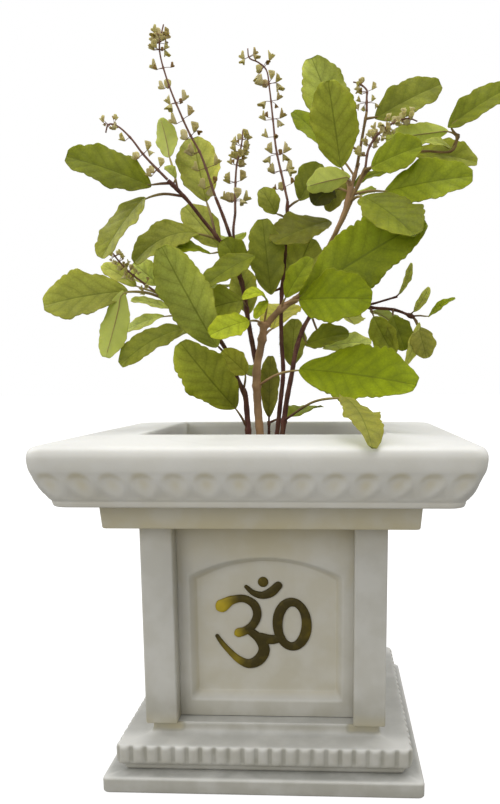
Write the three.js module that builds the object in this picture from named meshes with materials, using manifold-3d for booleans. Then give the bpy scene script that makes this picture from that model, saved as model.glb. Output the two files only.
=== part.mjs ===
// A holy basil plant growing in a square, carved white marble pot.
// Millimetres, +Z up. The origin is the middle of the underside, and the panel with the
// Om sign looks towards -Y.

import * as THREE from "three";
import { mergeVertices } from "three/addons/utils/BufferGeometryUtils.js";
import Module from "manifold-3d";

const wasm = await Module();
wasm.setup();

// ---------------------------------------------------------------- driving dimensions

const GAP = 0.3; // clearance between pieces that touch

const SLAB = { half: 90.2, bottom: 0, top: 9.2, corner: 3, edge: 1.5 };
const PLINTH = {
  half: 84.3, bottom: SLAB.top + GAP, cove: 14, top: 25.5, coveIn: 5, ribs: 21, ribDepth: 1.6,
};
const FOOT = { half: 66, top: 31.8, corner: 4 };
const BODY = { half: 57.4, bottom: FOOT.top + GAP, top: 150.2, cavity: 44, floor: 38.5 };
const PANEL = { half: 41, sill: 45.5, spring: 114, apex: 125, depth: 7, slope: 3.5 };
const POST = { outer: 69.4, inner: 51, chamfer: 0.8 };
const COLLAR = { lowerHalf: 85.4, upperHalf: 86.4, bottom: BODY.top + GAP, top: 164.8, hole: 44 };
const RIM = {
  bottom: COLLAR.top + GAP,
  hole: 67.5,
  corner: 8,
  // half-width and height of the outline, from the underside, over the top, to the lip
  profile: [
    [103, 165.1], [105.4, 165.8], [106, 168], [107.4, 169.6], [114.2, 186],
    [115, 189.5], [114.4, 193], [112.2, 195.8], [108.8, 197.2], [72, 199.7],
  ],
};
const PETAL = { perSide: 14, pitch: 15.3, half: 6.6, height: 13.5, depth: 1.5, middle: 177.5 };
const SOIL = { top: 186, wall: GAP, cells: 8, lump: 1.4 };
const STEM_FOOT = { depth: 26, sides: 8, room: 0.35 };

const BLADE = { thickness: 0.8, fold: 0.16, notch: 0.86, wave: 0.035 };
const CALYX = { length: 4.6, mouth: 1.5, neck: 0.6, stalk: 0.9, lean: 0.25 };

const MARBLE = { color: 0xe9e8e2, roughness: 0.45, metalness: 0 };
const BRONZE = { color: 0x6a5520, roughness: 0.4, metalness: 0.7 };
const EARTH = { color: 0x3b2a1d, roughness: 1, metalness: 0 };
const FOLIAGE = { color: 0x6f8a2c, roughness: 0.6, metalness: 0 };
const DRY_FLOWER = { color: 0x8d7a4e, roughness: 0.8, metalness: 0 };

// ---------------------------------------------------------------- small tools

const vec = ([x, y, z]) => new THREE.Vector3(x, y, z);

// Seeded random numbers between 0 and 1.
function seededRandom(seed) {
  let state = seed;
  return () => {
    state = (state * 1664525 + 1013904223) % 4294967296;
    return state / 4294967296;
  };
}

function geometryFrom(points, triangles) {
  const geometry = new THREE.BufferGeometry();
  geometry.setAttribute("position", new THREE.Float32BufferAttribute(points.flat(), 3));
  geometry.setIndex(triangles.flat());
  return geometry;
}

// A closed geometry as a solid that can be joined and cut.
function toSolid(geometry) {
  const bare = geometry.clone();
  bare.deleteAttribute("normal");
  bare.deleteAttribute("uv");
  const merged = mergeVertices(bare, 1e-4);
  return new wasm.Manifold(new wasm.Mesh({
    numProp: 3,
    vertProperties: new Float32Array(merged.attributes.position.array),
    triVerts: new Uint32Array(merged.index.array),
  }));
}

function toGeometry(solid) {
  const mesh = solid.getMesh();
  const geometry = new THREE.BufferGeometry();
  geometry.setAttribute("position", new THREE.Float32BufferAttribute(mesh.vertProperties, 3));
  geometry.setIndex(Array.from(mesh.triVerts));
  return geometry;
}

const join = (geometries) => geometries.map(toSolid).reduce((whole, next) => whole.add(next));

// A skin through rings of points that all run counterclockwise seen from their far end.
// It is closed by flat caps, or on itself when `loop` is set.
function skin(rings, loop = false) {
  const count = rings[0].length;
  const triangles = [];
  const steps = loop ? rings.length : rings.length - 1;
  for (let ring = 0; ring < steps; ring += 1) {
    const lower = ring * count;
    const upper = ((ring + 1) % rings.length) * count;
    for (let i = 0; i < count; i += 1) {
      const next = (i + 1) % count;
      triangles.push([lower + i, lower + next, upper + next], [lower + i, upper + next, upper + i]);
    }
  }
  if (!loop) {
    const last = (rings.length - 1) * count;
    for (let i = 1; i < count - 1; i += 1) {
      triangles.push([0, i + 1, i], [last, last + i, last + i + 1]);
    }
  }
  return geometryFrom(rings.flat(), triangles);
}

// A square outline with round corners, counterclockwise.
function squareOutline(half, corner, steps = 2) {
  const outline = [];
  for (let side = 0; side < 4; side += 1) {
    const turn = (side * Math.PI) / 2;
    for (let step = 0; step <= steps; step += 1) {
      const angle = turn + (step / steps) * (Math.PI / 2);
      const middle = turn + Math.PI / 4;
      const reach = (half - corner) * Math.SQRT2;
      outline.push([
        reach * Math.cos(middle) + corner * Math.cos(angle),
        reach * Math.sin(middle) + corner * Math.sin(angle),
      ]);
    }
  }
  return outline;
}

const atHeight = (outline, z) => outline.map(([x, y]) => [x, y, z]);

// A slab with round corners and a small round edge at its top and bottom.
function roundedSlab({ half, bottom, top, corner, edge }) {
  return skin([
    atHeight(squareOutline(half - edge, corner), bottom),
    atHeight(squareOutline(half, corner), bottom + edge),
    atHeight(squareOutline(half, corner), top - edge),
    atHeight(squareOutline(half - edge, corner), top),
  ]);
}

function squareBlock(half, bottom, top) {
  const block = new THREE.BoxGeometry(2 * half, 2 * half, top - bottom);
  return block.translate(0, 0, (bottom + top) / 2);
}

// ---------------------------------------------------------------- pot

// One half-round rib on the -Y side of the plinth, sunk a little into its block.
function plinthRib(x, pitch) {
  const { half, cove, top, ribDepth } = PLINTH;
  const sunk = 0.4;
  const margin = 0.3;
  const shape = new THREE.Shape([
    [-0.49, -sunk], [0.49, -sunk], [0.26, ribDepth], [-0.26, ribDepth],
  ].map(([across, out]) => new THREE.Vector2(across * pitch, -out)));
  const rib = new THREE.ExtrudeGeometry(shape, { depth: top - cove - 2 * margin, bevelEnabled: false });
  return rib.translate(x, -(half - ribDepth), cove + margin);
}

function plinth() {
  const { half, bottom, cove, top, coveIn, ribs, ribDepth } = PLINTH;
  const blockHalf = half - ribDepth;
  const foot = skin([
    atHeight(squareOutline(half - coveIn, 2), bottom),
    atHeight(squareOutline(half - coveIn + 1, 2), bottom + 2.5),
    atHeight(squareOutline(blockHalf - 0.4, 2), cove + 1),
  ]);
  const step = skin([
    atHeight(squareOutline(FOOT.half + 1.5, FOOT.corner), top - 1),
    atHeight(squareOutline(FOOT.half, FOOT.corner), top + 2.5),
    atHeight(squareOutline(FOOT.half, FOOT.corner), FOOT.top),
  ]);
  const pieces = [squareBlock(blockHalf, cove, top), foot, step];
  const pitch = (2 * blockHalf) / ribs;
  for (let side = 0; side < 4; side += 1) {
    for (let i = 0; i < ribs; i += 1) {
      pieces.push(plinthRib((i - (ribs - 1) / 2) * pitch, pitch).rotateZ((side * Math.PI) / 2));
    }
  }
  return join(pieces);
}

// The outline of the sunk panel, grown by `grow` on all sides.
function archShape(grow) {
  const half = PANEL.half + grow;
  const rise = PANEL.apex - PANEL.spring;
  const radius = (half * half + rise * rise) / (2 * rise);
  const reach = Math.asin(half / radius);
  const shape = new THREE.Shape();
  shape.moveTo(-half, PANEL.sill - grow);
  shape.lineTo(half, PANEL.sill - grow);
  shape.absarc(0, PANEL.apex + grow - radius, radius, Math.PI / 2 - reach, Math.PI / 2 + reach, false);
  return shape;
}

// The tool that sinks one panel: narrow at the panel's floor, wide at the wall's face.
function panelCutter() {
  const ringAt = (grow, depth) => archShape(grow).getPoints(4)
    .map((point) => [point.x, -(BODY.half - depth), point.y]);
  return skin([ringAt(0, PANEL.depth), ringAt(PANEL.slope, 0), ringAt(PANEL.slope, -1)]);
}

function potBody() {
  const { half, bottom, top, cavity, floor } = BODY;
  let body = toSolid(squareBlock(half, bottom, top));
  body = body.subtract(toSolid(squareBlock(cavity, floor, top + 10)));
  for (let side = 0; side < 4; side += 1) {
    body = body.subtract(toSolid(panelCutter().rotateZ((side * Math.PI) / 2)));
  }
  return body;
}

// A corner pilaster: a square post with a notch for the corner of the body.
function cornerPost(signX, signY) {
  const { outer, inner, chamfer } = POST;
  const notch = BODY.half + GAP;
  const corners = [
    [inner, notch], [notch, notch], [notch, inner],
    [outer - chamfer, inner], [outer, inner + chamfer],
    [outer, outer - chamfer], [outer - chamfer, outer],
    [inner + chamfer, outer], [inner, outer - chamfer],
  ];
  const shape = new THREE.Shape(corners.map(([x, y]) => new THREE.Vector2(x * signX, y * signY)));
  const depth = BODY.top - BODY.bottom;
  const post = new THREE.ExtrudeGeometry(shape, { depth, bevelEnabled: false });
  return toSolid(post.translate(0, 0, BODY.bottom));
}

function collar() {
  const { lowerHalf, upperHalf, bottom, top, hole } = COLLAR;
  const slab = skin([
    atHeight(squareOutline(lowerHalf, 1.5), bottom),
    atHeight(squareOutline(upperHalf, 1.5), top - 1),
    atHeight(squareOutline(upperHalf - 0.8, 1.5), top),
  ]);
  return toSolid(slab).subtract(toSolid(squareBlock(hole, bottom - 5, top + 5)));
}

// The shield-shaped hollow of one lotus petal, deepest under its round top.
function petalCutter(x) {
  const { half, height, depth, middle } = PETAL;
  const shape = new THREE.Shape([
    [-half, 0.12], [0, -0.5], [half, 0.12], [0.55 * half, 0.44], [-0.55 * half, 0.44],
  ].map(([across, up]) => new THREE.Vector2(across, up * height)));
  const cutter = new THREE.ExtrudeGeometry(shape, { depth: 4, bevelEnabled: false });
  const [faceBottom, faceTop] = [RIM.profile[3], RIM.profile[4]];
  const lean = Math.atan2(faceTop[0] - faceBottom[0], faceTop[1] - faceBottom[1]);
  const tilt = 0.5 * (depth / height);
  cutter.translate(0, 0, -depth * 0.6);
  cutter.rotateX(Math.PI / 2 + lean + tilt);
  return cutter.translate(x, -(faceBottom[0] + faceTop[0]) / 2, middle);
}

function rim() {
  const { bottom, hole, corner, profile } = RIM;
  const inner = [[hole + 0.8, 200], [hole, 199], [hole, bottom]];
  const rings = [...profile, ...inner]
    .map(([half, z]) => atHeight(squareOutline(half, half > 80 ? corner : 2), z));
  let body = toSolid(skin(rings, true));
  for (let side = 0; side < 4; side += 1) {
    for (let i = 0; i < PETAL.perSide; i += 1) {
      const x = (i - (PETAL.perSide - 1) / 2) * PETAL.pitch;
      body = body.subtract(toSolid(petalCutter(x).rotateZ((side * Math.PI) / 2)));
    }
  }
  return body;
}

// ---------------------------------------------------------------- Om sign

const OM = {
  back: -(BODY.half - PANEL.depth) - GAP,
  thickness: 1.3,
  // each brush stroke: x, z and the width of the stroke there
  upper: [[-26.3, 97.8, 8], [-20.3, 101.3, 5.4], [-13.2, 102.2, 4.5], [-7.3, 98.6, 5.1],
    [-5.6, 92.5, 5.1], [-8.1, 86.4, 5.1], [-12.9, 82.6, 5.1], [-16.5, 81.4, 5.7]],
  lower: [[-11.1, 83.3, 4.5], [-4.6, 77.8, 5.7], [-1.7, 71, 6.8], [-4.8, 64.8, 6.8],
    [-10.8, 62.2, 5.7], [-16.7, 64.6, 4.5], [-22.6, 70.1, 3.4], [-27.3, 75.7, 2.8], [-29.6, 79.3, 2.3]],
  bridge: [[-3.8, 78.6, 5.7], [3.1, 77.3, 5.7], [8.4, 78.5, 5.1]],
  crescent: [[-11.9, 109.5, 2.3], [-7.8, 105.9, 3.4], [-2.5, 104.4, 4.5], [2.8, 106.3, 5.7],
    [6.9, 110.2, 5.1]],
  loop: { centre: [15, 86.8], outer: [11.4, 16.6], inner: [5.8, 10.6] },
  dot: { centre: [-1.9, 112.4], half: 3.1 },
};

// A plate standing on the panel's floor, from an outline in x and z.
function plate(shape) {
  const geometry = new THREE.ExtrudeGeometry(shape, { depth: OM.thickness, bevelEnabled: false });
  return geometry.rotateX(Math.PI / 2).translate(0, OM.back, 0);
}

// The outline of a brush stroke with round ends, along its middle line.
function brushStroke(stations) {
  const path = new THREE.CatmullRomCurve3(stations.map(([x, z, width]) => new THREE.Vector3(x, z, width)));
  const steps = 2 * (stations.length - 1);
  const left = [];
  const right = [];
  for (let i = 0; i <= steps; i += 1) {
    const share = i / steps;
    const point = path.getPoint(share);
    const along = path.getTangent(share).setZ(0).normalize();
    const half = point.z / 2;
    left.push(new THREE.Vector2(point.x - along.y * half, point.y + along.x * half));
    right.push(new THREE.Vector2(point.x + along.y * half, point.y - along.x * half));
    const end = i === 0 ? -1 : 1;
    if (i === 0 || i === steps) {
      left.push(new THREE.Vector2(point.x + end * along.x * half, point.y + end * along.y * half));
    }
  }
  if (left[1]) {
    [left[0], left[1]] = [left[1], left[0]];
  }
  return new THREE.Shape([...right, ...left.reverse()]);
}

function ellipseShape([x, z], [halfWidth, halfHeight]) {
  return new THREE.Shape(new THREE.EllipseCurve(x, z, halfWidth, halfHeight).getPoints(16).slice(0, -1));
}

function omLetter() {
  const loop = ellipseShape(OM.loop.centre, OM.loop.outer);
  loop.holes.push(ellipseShape(OM.loop.centre, OM.loop.inner));
  const strokes = [OM.upper, OM.lower, OM.bridge].map((stroke) => plate(brushStroke(stroke)));
  return join([...strokes, plate(loop)]);
}

const omCrescent = () => toSolid(plate(brushStroke(OM.crescent)));

const omDot = () => toSolid(plate(ellipseShape(OM.dot.centre, [OM.dot.half, OM.dot.half])));

// ---------------------------------------------------------------- plant: shoots

// Each branch is a stem through its points, tapering from its first to its last radius.
// Each leaf names its branch and how far along it stands, then the base and the tip of its
// blade, the blade's width, and the way its upper face looks. `arch` lifts the blade's middle.
const SHOOTS = {
  middle_shoot: {
    foot: { x: -7, y: 0, radius: 2.6 },
    branches: {
      trunk: {
        path: [[-7, 0, 188], [-9, 0, 217], [-9, 0, 237], [-6, 0, 252], [-4, 0, 265]],
        from: 2.6, to: 2.3,
      },
      rightFork: {
        path: [[-5, 0, 261], [7, -3, 273], [18, -4, 280], [31, 2, 301], [44, 8, 328], [49, 12, 345],
          [54, 17, 362]],
        from: 2, to: 1.1,
      },
      sideFork: { path: [[36, 4, 311], [46, 4, 329], [52, 6, 344], [58, 8, 357]], from: 1.1, to: 0.9 },
      topTwig: { path: [[53, 16, 359], [56, 19, 376], [59, 21, 393]], from: 1, to: 0.8 },
      sideTwig: {
        path: [[51, 6, 341], [60, 9, 356], [76, 12, 366], [94, 12, 367], [111, 11, 367], [114, 10, 376]],
        from: 0.9, to: 0.7,
      },
      leftFork: {
        path: [[-9, 0, 237], [-12, 3, 252], [-14, 5, 262], [-18, 9, 286], [-22, 10, 303], [-23, 10, 313]],
        from: 1.7, to: 1.2,
      },
      firstSpike: { path: [[-22, 10, 307], [-29, 8, 328], [-34, 6, 341]], from: 1.2, to: 0.9 },
      secondSpike: {
        path: [[-19, 9, 290], [-26, 4, 307], [-31, 0, 314], [-40, -6, 325], [-48, -12, 335], [-58, -18, 345]],
        from: 1.2, to: 1,
      },
      thirdSpike: { path: [[-22, 10, 308], [-24, 12, 321], [-23, 15, 333]], from: 0.9, to: 0.8 },
    },
    leaves: [
      { on: "secondSpike", at: 0.97, base: [-68, -17, 342], tip: [-115, -30, 356],
        width: 30, face: [0, -3, 2] },
      { on: "secondSpike", at: 0.84, base: [-73, -14, 337], tip: [-97, -28, 299],
        width: 26, face: [-2, -3, 1] },
      { on: "secondSpike", at: 0.9, base: [-60, -2, 362], tip: [-67, 8, 388], width: 14, face: [0, 2, 1] },
      { on: "secondSpike", at: 0.45, base: [-41, 14, 340], tip: [-50, 22, 381], width: 27, face: [0, -3, 1] },
      { on: "secondSpike", at: 0.95, base: [-54, -14, 347], tip: [-61, -10, 355],
        width: 6, face: [0, -2, 2] },
      { on: "leftFork", at: 0.97, base: [-33, 12, 312], tip: [-55, 14, 338], width: 21, face: [0, -3, 1] },
      { on: "leftFork", at: 0.93, base: [-45, 8, 320], tip: [-83, -10, 299],
        width: 24, face: [0, -3, 2], arch: 9 },
      { on: "leftFork", at: 0.9, base: [-37, 4, 307], tip: [-62, -8, 309], width: 10, face: [0, -2, 2] },
      { on: "leftFork", at: 0.75, base: [-9, -6, 304], tip: [-39, -22, 283], width: 20, face: [0, -1, 1] },
      { on: "leftFork", at: 0.8, base: [-17, 3, 296], tip: [-29, 0, 315], width: 19, face: [0, -3, 1] },
      { on: "leftFork", at: 0.5, base: [-17, -2, 278], tip: [-40, -12, 271], width: 24, face: [0, -3, 1] },
      { on: "trunk", at: 0.97, base: [-12, -14, 265], tip: [-34, -32, 255], width: 17, face: [0, -3, 1] },
      { on: "trunk", at: 0.99, base: [-1, -6, 276], tip: [-16, -18, 277],
        width: 11, face: [0, -2, 2], arch: 6 },
      { on: "trunk", at: 0.35, base: [18, -16, 236], tip: [87, -52, 226], width: 39, face: [0, -3, 2] },
      { on: "rightFork", at: 0.16, base: [10, -14, 278], tip: [26, -17, 301], width: 14, face: [-1, -3, 0] },
      { on: "rightFork", at: 0.2, base: [18, -13, 277], tip: [62, -32, 275], width: 34, face: [0, -3, 1] },
      { on: "rightFork", at: 0.3, base: [18, -8, 279], tip: [93, -24, 321], width: 38, face: [0, -3, 1] },
      { on: "rightFork", at: 0.85, base: [43, 4, 356], tip: [35, -6, 403], width: 29, face: [0, -3, 1] },
      { on: "rightFork", at: 0.92, base: [39, 24, 371], tip: [12, 28, 397], width: 15, face: [0, -2, 1] },
      { on: "rightFork", at: 0.84, base: [49, 8, 352], tip: [22, -2, 344], width: 16, face: [0, 3, 2] },
      { on: "topTwig", at: 0.3, base: [46, 28, 376], tip: [24, 36, 432], width: 30, face: [0, -3, 1] },
      { on: "topTwig", at: 0.88, base: [64, 23, 390], tip: [105, 19, 408], width: 24, face: [0, -3, 1] },
      { on: "sideTwig", at: 0.98, base: [107, 7, 379], tip: [144, -2, 399], width: 22, face: [0, -3, 2] },
      { on: "sideTwig", at: 0.96, base: [109, 17, 380], tip: [70, 22, 377], width: 14, face: [0, 2, 1] },
      { on: "sideTwig", at: 0.5, base: [87, 19, 368], tip: [128, 16, 361], width: 24, face: [0, -3, 2] },
      { on: "sideFork", at: 0.95, base: [61, 4, 356], tip: [91, -10, 364], width: 23, face: [0, -3, 1] },
      { on: "sideFork", at: 0.6, base: [69, 0, 341], tip: [120, -18, 345], width: 27, face: [0, -3, 1] },
      { on: "sideFork", at: 0.5, base: [56, -12, 336], tip: [85, -38, 308], width: 37, face: [1, -3, 2] },
      { on: "rightFork", at: 0.82, base: [38, 14, 347], tip: [26, 4, 335], width: 17, face: [0, -3, 1] },
      { on: "rightFork", at: 0.8, base: [46, 22, 357], tip: [35, 16, 333], width: 14, face: [0, -3, 1] },
      { on: "rightFork", at: 0.78, base: [50, 16, 348], tip: [72, 12, 356], width: 9, face: [0, -2, 2] },
      { on: "sideTwig", at: 0.97, base: [111, 13, 368], tip: [93, 10, 372], width: 8, face: [0, -2, 2] },
      // towards the back
      { on: "rightFork", at: 0.55, base: [42, 22, 318], tip: [74, 60, 326], width: 27, face: [-1, -1, 3] },
      { on: "rightFork", at: 0.75, base: [50, 26, 346], tip: [58, 72, 356], width: 25, face: [0, -1, 3] },
      { on: "leftFork", at: 0.65, base: [-22, 20, 290], tip: [-46, 62, 290], width: 28, face: [-1, 1, 3] },
      { on: "leftFork", at: 0.95, base: [-27, 22, 314], tip: [-36, 64, 328], width: 24, face: [0, -1, 3] },
      { on: "trunk", at: 0.45, base: [-12, 12, 232], tip: [-44, 50, 238], width: 27, face: [-1, 1, 3] },
      { on: "trunk", at: 0.8, base: [0, 16, 262], tip: [4, 62, 282], width: 29, face: [0, -1, 3] },
      // in the middle
      { on: "leftFork", at: 0.55, base: [-15, 14, 271], tip: [-21, 16, 302], width: 18, face: [0, -3, 1] },
      { on: "trunk", at: 0.98, base: [-1, -9, 277], tip: [-9, -12, 266], width: 7, face: [0, -3, 1] },
    ],
  },
  left_shoot: {
    foot: { x: -14, y: -6, radius: 1.9 },
    branches: {
      stem: {
        path: [[-14, -6, 188], [-15, -7, 211], [-16, -8, 221], [-20, -8, 229], [-26, -5, 245],
          [-36, 0, 259], [-51, 4, 270], [-66, 5, 280]],
        from: 1.9, to: 1,
      },
    },
    leaves: [
      { on: "stem", at: 0.06, base: [-21, -14, 212], tip: [-50, -40, 252], width: 30, face: [-1, -3, 1] },
      { on: "stem", at: 0.32, base: [-14, -13, 233], tip: [-28, -22, 247], width: 15, face: [0, -3, 1] },
      { on: "stem", at: 0.55, base: [-32, -12, 249], tip: [-61, -31, 307], width: 31, face: [-1, -3, 1] },
      { on: "stem", at: 0.8, base: [-68, 6, 270], tip: [-100, 4, 257], width: 11, face: [0, -2, 2] },
      { on: "stem", at: 0.85, base: [-54, -2, 262], tip: [-91, -20, 238],
        width: 19, face: [0, -3, 2], arch: 5 },
      { on: "stem", at: 0.88, base: [-87, 14, 289], tip: [-110, 16, 303], width: 13, face: [0, -3, 2] },
      { on: "stem", at: 0.97, base: [-88, -15, 283], tip: [-97, -27, 242], width: 17, face: [0, 3, 1] },
      { on: "stem", at: 0.98, base: [-87, -7, 284], tip: [-137, -19, 274], width: 35, face: [0, -3, 2] },
      { on: "stem", at: 0.9, base: [-73, 15, 290], tip: [-90, 17, 304], width: 16, face: [0, -3, 1] },
      { on: "stem", at: 0.93, base: [-64, 3, 274], tip: [-88, 0, 279], width: 8, face: [0, -2, 2] },
      // towards the back
      { on: "stem", at: 0.72, base: [-46, 14, 262], tip: [-70, 46, 258], width: 22, face: [-1, 1, 3] },
    ],
  },
  spike_shoot: {
    foot: { x: 2, y: 6, radius: 1.6 },
    branches: {
      stem: {
        path: [[2, 6, 188], [5, 6, 214], [7, 7, 234], [6, 8, 254], [6, 10, 279], [8, 12, 303], [9, 14, 319],
          [10, 15, 340]],
        from: 1.6, to: 1,
      },
    },
    leaves: [
      { on: "stem", at: 0.62, base: [0, 6, 282], tip: [-5, 3, 328], width: 23, face: [0, -3, 1] },
      { on: "stem", at: 0.6, base: [11, 17, 285], tip: [25, 19, 319], width: 29, face: [0, -3, 1] },
      { on: "stem", at: 0.9, base: [37, 21, 329], tip: [1, -4, 311], width: 29, face: [0, -2, 2] },
      { on: "stem", at: 0.93, base: [3, 10, 331], tip: [-6, 7, 346], width: 14, face: [0, -3, 1] },
      { on: "stem", at: 0.97, base: [17, 24, 342], tip: [30, 28, 366], width: 19, face: [0, -3, 1] },
      // towards the back
      { on: "stem", at: 0.75, base: [10, 24, 308], tip: [14, 68, 318], width: 27, face: [0, -1, 3] },
    ],
  },
  right_shoot: {
    foot: { x: 6, y: -5, radius: 1.7 },
    branches: {
      stem: {
        path: [[6, -5, 188], [10, -6, 217], [13, -6, 232], [16, -5, 248], [21, 2, 263], [30, 12, 275],
          [44, 18, 278], [62, 18, 275], [78, 15, 273], [90, 12, 268]],
        from: 1.7, to: 0.8,
      },
      thinTwig: { path: [[55, 18, 276], [63, 17, 277], [71, 15, 279], [79, 12, 281]], from: 0.8, to: 0.6 },
    },
    leaves: [
      { on: "stem", at: 0.06, base: [44, -56, 220], tip: [58, -119, 196],
        width: 19, face: [1, -2, 2], arch: 5 },
      { on: "stem", at: 0.42, base: [21, -1, 251], tip: [49, -8, 257], width: 20, face: [0, -2, 2] },
      { on: "stem", at: 0.5, base: [32, 4, 249], tip: [63, -4, 252], width: 15, face: [0, -2, 2] },
      { on: "stem", at: 0.78, base: [64, 12, 269], tip: [77, 4, 244], width: 17, face: [-1, -2, 1] },
      { on: "stem", at: 0.88, base: [76, 10, 269], tip: [84, 5, 247], width: 17, face: [0, -3, 1] },
      { on: "stem", at: 0.99, base: [92, 9, 262], tip: [97, 3, 242], width: 16, face: [0, -3, 1] },
      { on: "stem", at: 0.97, base: [89, 8, 271], tip: [98, 4, 286], width: 6, face: [1, -2, 1] },
      { on: "stem", at: 0.98, base: [98, 9, 268], tip: [114, 2, 279], width: 6, face: [0, -2, 2] },
      { on: "thinTwig", at: 0.95, base: [80, 11, 282], tip: [87, 6, 301], width: 5, face: [1, -2, 0] },
      { on: "stem", at: 0.97, base: [93, 10, 265], tip: [84, 2, 238], width: 8, face: [1, -3, 0] },
      // towards the back
      { on: "stem", at: 0.6, base: [38, 26, 276], tip: [54, 66, 268], width: 25, face: [1, 1, 3] },
      { on: "stem", at: 0.74, base: [64, 26, 274], tip: [84, 56, 264], width: 20, face: [1, 1, 3] },
      // in the middle
      { on: "stem", at: 0.35, base: [12, 16, 238], tip: [14, 17, 269], width: 17, face: [0, -3, 1] },
    ],
  },
  low_shoot: {
    foot: { x: -3, y: 13, radius: 1.1 },
    branches: {
      stem: { path: [[-3, 13, 188], [-3, 13, 197], [-3, 14, 203]], from: 1.1, to: 0.8 },
    },
    leaves: [
      { on: "stem", at: 0.97, base: [-3, 15, 205], tip: [-2, 19, 246], width: 13, face: [0, -3, 1] },
      // towards the back
      { on: "stem", at: 0.9, base: [6, 24, 204], tip: [30, 56, 211], width: 22, face: [1, 1, 3] },
    ],
  },
};

// A round stem through its points, closed at both ends.
function stemTube(path, from, to, sides = 5, stepsPerSpan = 1) {
  const curve = new THREE.CatmullRomCurve3(path.map(vec), false, "centripetal");
  const steps = stepsPerSpan * (path.length - 1);
  const rings = [];
  let across = new THREE.Vector3(1, 0, 0);
  for (let i = 0; i <= steps; i += 1) {
    const share = i / steps;
    const along = curve.getTangent(share).normalize();
    across = across.clone().addScaledVector(along, -across.dot(along)).normalize();
    const up = along.clone().cross(across);
    const point = curve.getPoint(share);
    const radius = THREE.MathUtils.lerp(from, to, share);
    const ring = [];
    for (let side = 0; side < sides; side += 1) {
      const angle = ((side + 0.5) * 2 * Math.PI) / sides;
      ring.push(point.clone().addScaledVector(across, radius * Math.cos(angle))
        .addScaledVector(up, radius * Math.sin(angle)).toArray());
    }
    rings.push(ring);
  }
  return skin(rings);
}

// Where a blade starts, the way it runs, its length, and the way its upper face looks.
function bladeFrame({ base, tip, face }) {
  const start = vec(base);
  const along = vec(tip).sub(start);
  const length = along.length();
  along.normalize();
  const normal = vec(face);
  normal.addScaledVector(along, -normal.dot(along)).normalize();
  return { start, along, length, normal };
}

// How far the midrib rises over the straight line from base to tip.
const archAt = ({ arch = 2 }, t) => arch * 4 * t * (1 - t);

// Half the width of a basil blade, as a share of its greatest half-width: narrow at the
// base, widest a little past the middle, and blunt at the tip.
const bladeShare = (t) => Math.sin(Math.PI * t ** 1.1) ** (0.75 - 0.25 * t);

// A leaf blade with a folded midrib and blunt teeth, of even thickness.
// Its upper and lower faces have the same triangles.
function blade(leaf, phase) {
  const { start, along, length, normal } = bladeFrame(leaf);
  const { width } = leaf;
  const across = normal.clone().cross(along);
  const teeth = THREE.MathUtils.clamp(Math.round(length / 12), 2, 5);
  const place = (t, side, share) => {
    const half = side * share * (width / 2);
    const wave = BLADE.wave * length * Math.sin(2.5 * Math.PI * t + phase + side) * share;
    const lift = archAt(leaf, t) + BLADE.fold * Math.abs(half) + wave;
    return start.clone().addScaledVector(along, t * length).addScaledVector(across, half)
      .addScaledVector(normal, lift);
  };
  const top = [];
  const triangles = [];
  const rib = [];
  for (let i = 0; i <= teeth; i += 1) {
    rib.push(top.push(place(i / teeth, 0, 0)) - 1);
  }
  const outline = [];
  for (const side of [-1, 1]) {
    const edge = [rib[0]];
    for (let i = 0; i < teeth; i += 1) {
      const peak = (i + 0.62) / teeth;
      edge.push(top.push(place(peak, side, bladeShare(peak))) - 1);
      const notch = (i + 1) / teeth;
      const last = i === teeth - 1;
      edge.push(last ? rib[teeth] : top.push(place(notch, side, BLADE.notch * bladeShare(notch))) - 1);
    }
    const turn = ([a, b, c]) => (side > 0 ? [a, b, c] : [a, c, b]);
    for (let i = 0; i < teeth; i += 1) {
      const [before, peak, after] = edge.slice(2 * i, 2 * i + 3);
      if (i > 0) triangles.push(turn([rib[i], peak, before]));
      triangles.push(turn([rib[i], rib[i + 1], peak]));
      if (i < teeth - 1) triangles.push(turn([rib[i + 1], after, peak]));
    }
    outline.push(side < 0 ? edge : edge.slice(1, -1).reverse());
  }
  return thicken(top, triangles, outline.flat(), normal);
}

// A closed solid from an open face, its outline and the way that the face looks.
function thicken(top, triangles, outline, normal) {
  const count = top.length;
  const lower = top.map((point) => point.clone().addScaledVector(normal, -BLADE.thickness));
  const under = triangles.map(([a, b, c]) => [a + count, c + count, b + count]);
  const rimBand = outline.flatMap((a, i) => {
    const b = outline[(i + 1) % outline.length];
    return [[a, a + count, b + count], [a, b + count, b]];
  });
  const points = [...top, ...lower].map((point) => point.toArray());
  return geometryFrom(points, [...triangles, ...under, ...rimBand]);
}

// The leaf's stalk, from the middle of the stem to a little way under the blade.
function petiole(branch, leaf) {
  const stem = new THREE.CatmullRomCurve3(branch.path.map(vec), false, "centripetal");
  const root = stem.getPoint(leaf.at);
  const { start, along, length, normal } = bladeFrame(leaf);
  const middle = root.clone().lerp(start, 0.55);
  middle.z += 0.06 * root.distanceTo(start);
  const end = start.clone().addScaledVector(along, 0.1 * length)
    .addScaledVector(normal, archAt(leaf, 0.1) - 0.6 * BLADE.thickness);
  return stemTube([root, middle, end].map((point) => point.toArray()), 0.9, 0.6, 3);
}

function shoot({ foot, branches, leaves }, seed) {
  const random = seededRandom(seed);
  const { depth, sides } = STEM_FOOT;
  const bottom = SOIL.top - depth + GAP;
  const buried = new THREE.CylinderGeometry(foot.radius, foot.radius, 190 - bottom, sides);
  buried.rotateX(Math.PI / 2).translate(foot.x, foot.y, (190 + bottom) / 2);
  const pieces = [buried];
  for (const { path, from, to } of Object.values(branches)) {
    pieces.push(stemTube(path, from, to));
  }
  for (const leaf of leaves) {
    pieces.push(petiole(branches[leaf.on], leaf), blade(leaf, 2 * Math.PI * random()));
  }
  return join(pieces);
}

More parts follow.
